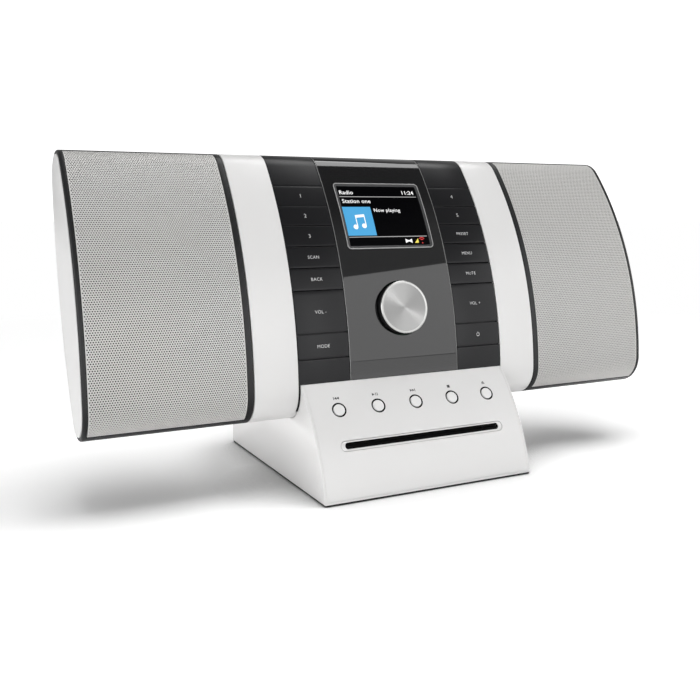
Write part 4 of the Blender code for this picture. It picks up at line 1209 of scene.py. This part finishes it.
def build_floor():
    """Matt floor, its colour darkened near the object as a painted shadow, that fades into the white backdrop."""
    mesh = bpy.data.meshes.new("floor")
    corners = rectangle(-FLOOR_REACH, -FLOOR_REACH, FLOOR_REACH, FLOOR_REACH)
    mesh.from_pydata([(u, v, 0) for u, v in corners], [], [(0, 1, 2, 3)])
    floor = new_object("floor", mesh)
    material, tree, shader = shader_nodes("floor_white")
    tree.nodes.remove(shader)
    # Ambient occlusion darkens the floor's colour near the object: painted shadow
    tone = {"Color": (FLOOR_TONE, FLOOR_TONE, FLOOR_TONE, 1), "Distance": SHADOW_PAINT_DISTANCE}
    painted_shadow = add_node(tree, "AmbientOcclusion", tone)
    painted_shadow.samples = 8
    matt = add_node(tree, "BsdfDiffuse", {"Color": painted_shadow.outputs["Color"]})
    length = tree.nodes.new("ShaderNodeVectorMath")
    length.operation = "LENGTH"
    set_inputs(tree, length, {0: own_space(tree)})
    fade = add_node(tree, "MapRange", {
        "Value": length.outputs["Value"], "From Min": FADE_START, "From Max": FADE_END})
    glow = tree.nodes.new("ShaderNodeEmission")
    mix = add_node(tree, "MixShader", {
        "Fac": fade.outputs["Result"], 1: matt.outputs["BSDF"], 2: glow.outputs["Emission"]})
    set_inputs(tree, tree.nodes["Material Output"], {"Surface": mix.outputs["Shader"]})
    floor.data.materials.append(material)


def build_world():
    world = bpy.data.worlds.new("studio")
    bpy.context.scene.world = world
    world.use_nodes = True
    tree = world.node_tree
    place = tree.nodes.new("ShaderNodeTexCoord")
    split = add_node(tree, "SeparateXYZ", {"Vector": place.outputs["Generated"]})
    ramp = add_node(tree, "ValToRGB", {"Fac": split.outputs["Z"]})
    set_inputs(tree, tree.nodes["Background"], {"Color": ramp.outputs["Color"], "Strength": 1.05})
    stops = ramp.color_ramp.elements
    stops[0].position, stops[1].position = ROOM_GREYS[0][0], ROOM_GREYS[-1][0]
    for height, _ in ROOM_GREYS[1:-1]:
        stops.new(height)
    for stop, (_, grey) in zip(stops, ROOM_GREYS):
        stop.color = (grey, grey, grey, 1)


def softbox(name, location, aim, size, radiance, diffuse=True, glossy=True, receivers=None):
    """Rectangular light; receivers is the collection of the only pieces it lights."""
    light = bpy.data.lights.new(name, "AREA")
    light.shape = "RECTANGLE"
    light.size, light.size_y = size
    light.energy = radiance * math.pi * size[0] * size[1]
    piece = new_object(name, light)
    piece.location = location
    piece.rotation_euler = (Vector(aim) - Vector(location)).to_track_quat("-Z", "Y").to_euler()
    if receivers:
        piece.light_linking.receiver_collection = receivers
    piece.visible_diffuse = diffuse
    piece.visible_glossy = glossy
    piece.visible_camera = False


def build_lights():
    """Lights that shade the object, and cards that are only seen in its glossy faces."""
    middle = (0, 0, 0.1)
    softbox("key", (0.0, -0.38, 2.5), middle, (1.4, 1.2), 3.0, glossy=False)
    softbox("right_key", (1.2, -0.10, 2.3), middle, (1.4, 1.0), 3.5, glossy=False)
    softbox("left_fill", (-2.3, -0.5, 0.25), middle, (2.4, 0.44), 4.0, glossy=False)
    softbox("front_fill", (0.2, -2.4, 0.70), middle, (2.4, 0.9), 1.15, glossy=False)
    softbox("top_strip", (0.95, 0.31, 2.4), (0.95, 0.31, 0), (1.3, 1.18), 5.2, diffuse=False)
    softbox("left_wall", (-2.4, -0.8, 0.8), (0, 0, 0.8), (2.4, 1.6), 3.5, diffuse=False)
    softbox("front_wall", (-1.2, -2.6, 0.862), (-1.2, 0, 0.862), (4.6, 1.576), 2.0, diffuse=False)
    softbox("front_floor", (-0.3, -6.3, 0.01), (-0.3, -6.3, 1.0), (6.0, 12.0), 1.0, diffuse=False)
    softbox("base_fill", (-1.5, 0.45, 0.07), (0, 0, 0.03), (1.4, 0.12), 24.0, glossy=False, receivers=base_only)
    softbox("side_wall", (0.99, -0.99, 0.518), (0, 0, 0.518), (1.9, 0.885), 2.0, diffuse=False)
    softbox("knob_spot", (1.35, -0.38, 1.05), (0, -0.05, 0.12), (0.35, 0.35), 75.0, False, True, knob_only)


def build_camera():
    camera = bpy.data.cameras.new("camera")
    camera.sensor_width, camera.lens = 36.0, 45.795
    camera.shift_x, camera.shift_y = -0.0377, -0.0721
    view = new_object("camera", camera)
    view.location = (-0.3110, -0.6054, 0.1931)
    view.rotation_euler = (math.radians(84.167), 0, math.radians(-27.481))
    bpy.context.scene.camera = view
    bpy.context.scene.view_settings.view_transform = "Standard"


build_backdrop()
build_floor()
build_world()
build_lights()
build_camera()
build_base()
build_housings()
build_keys()
build_fascia()
build_display()
build_knob()
for speaker_side, speaker_name in ((-1, "left"), (1, "right")):
    build_enclosure(speaker_side, speaker_name)
    build_screws(speaker_side, speaker_name)
    build_grille(speaker_side, speaker_name)
paint_inner()
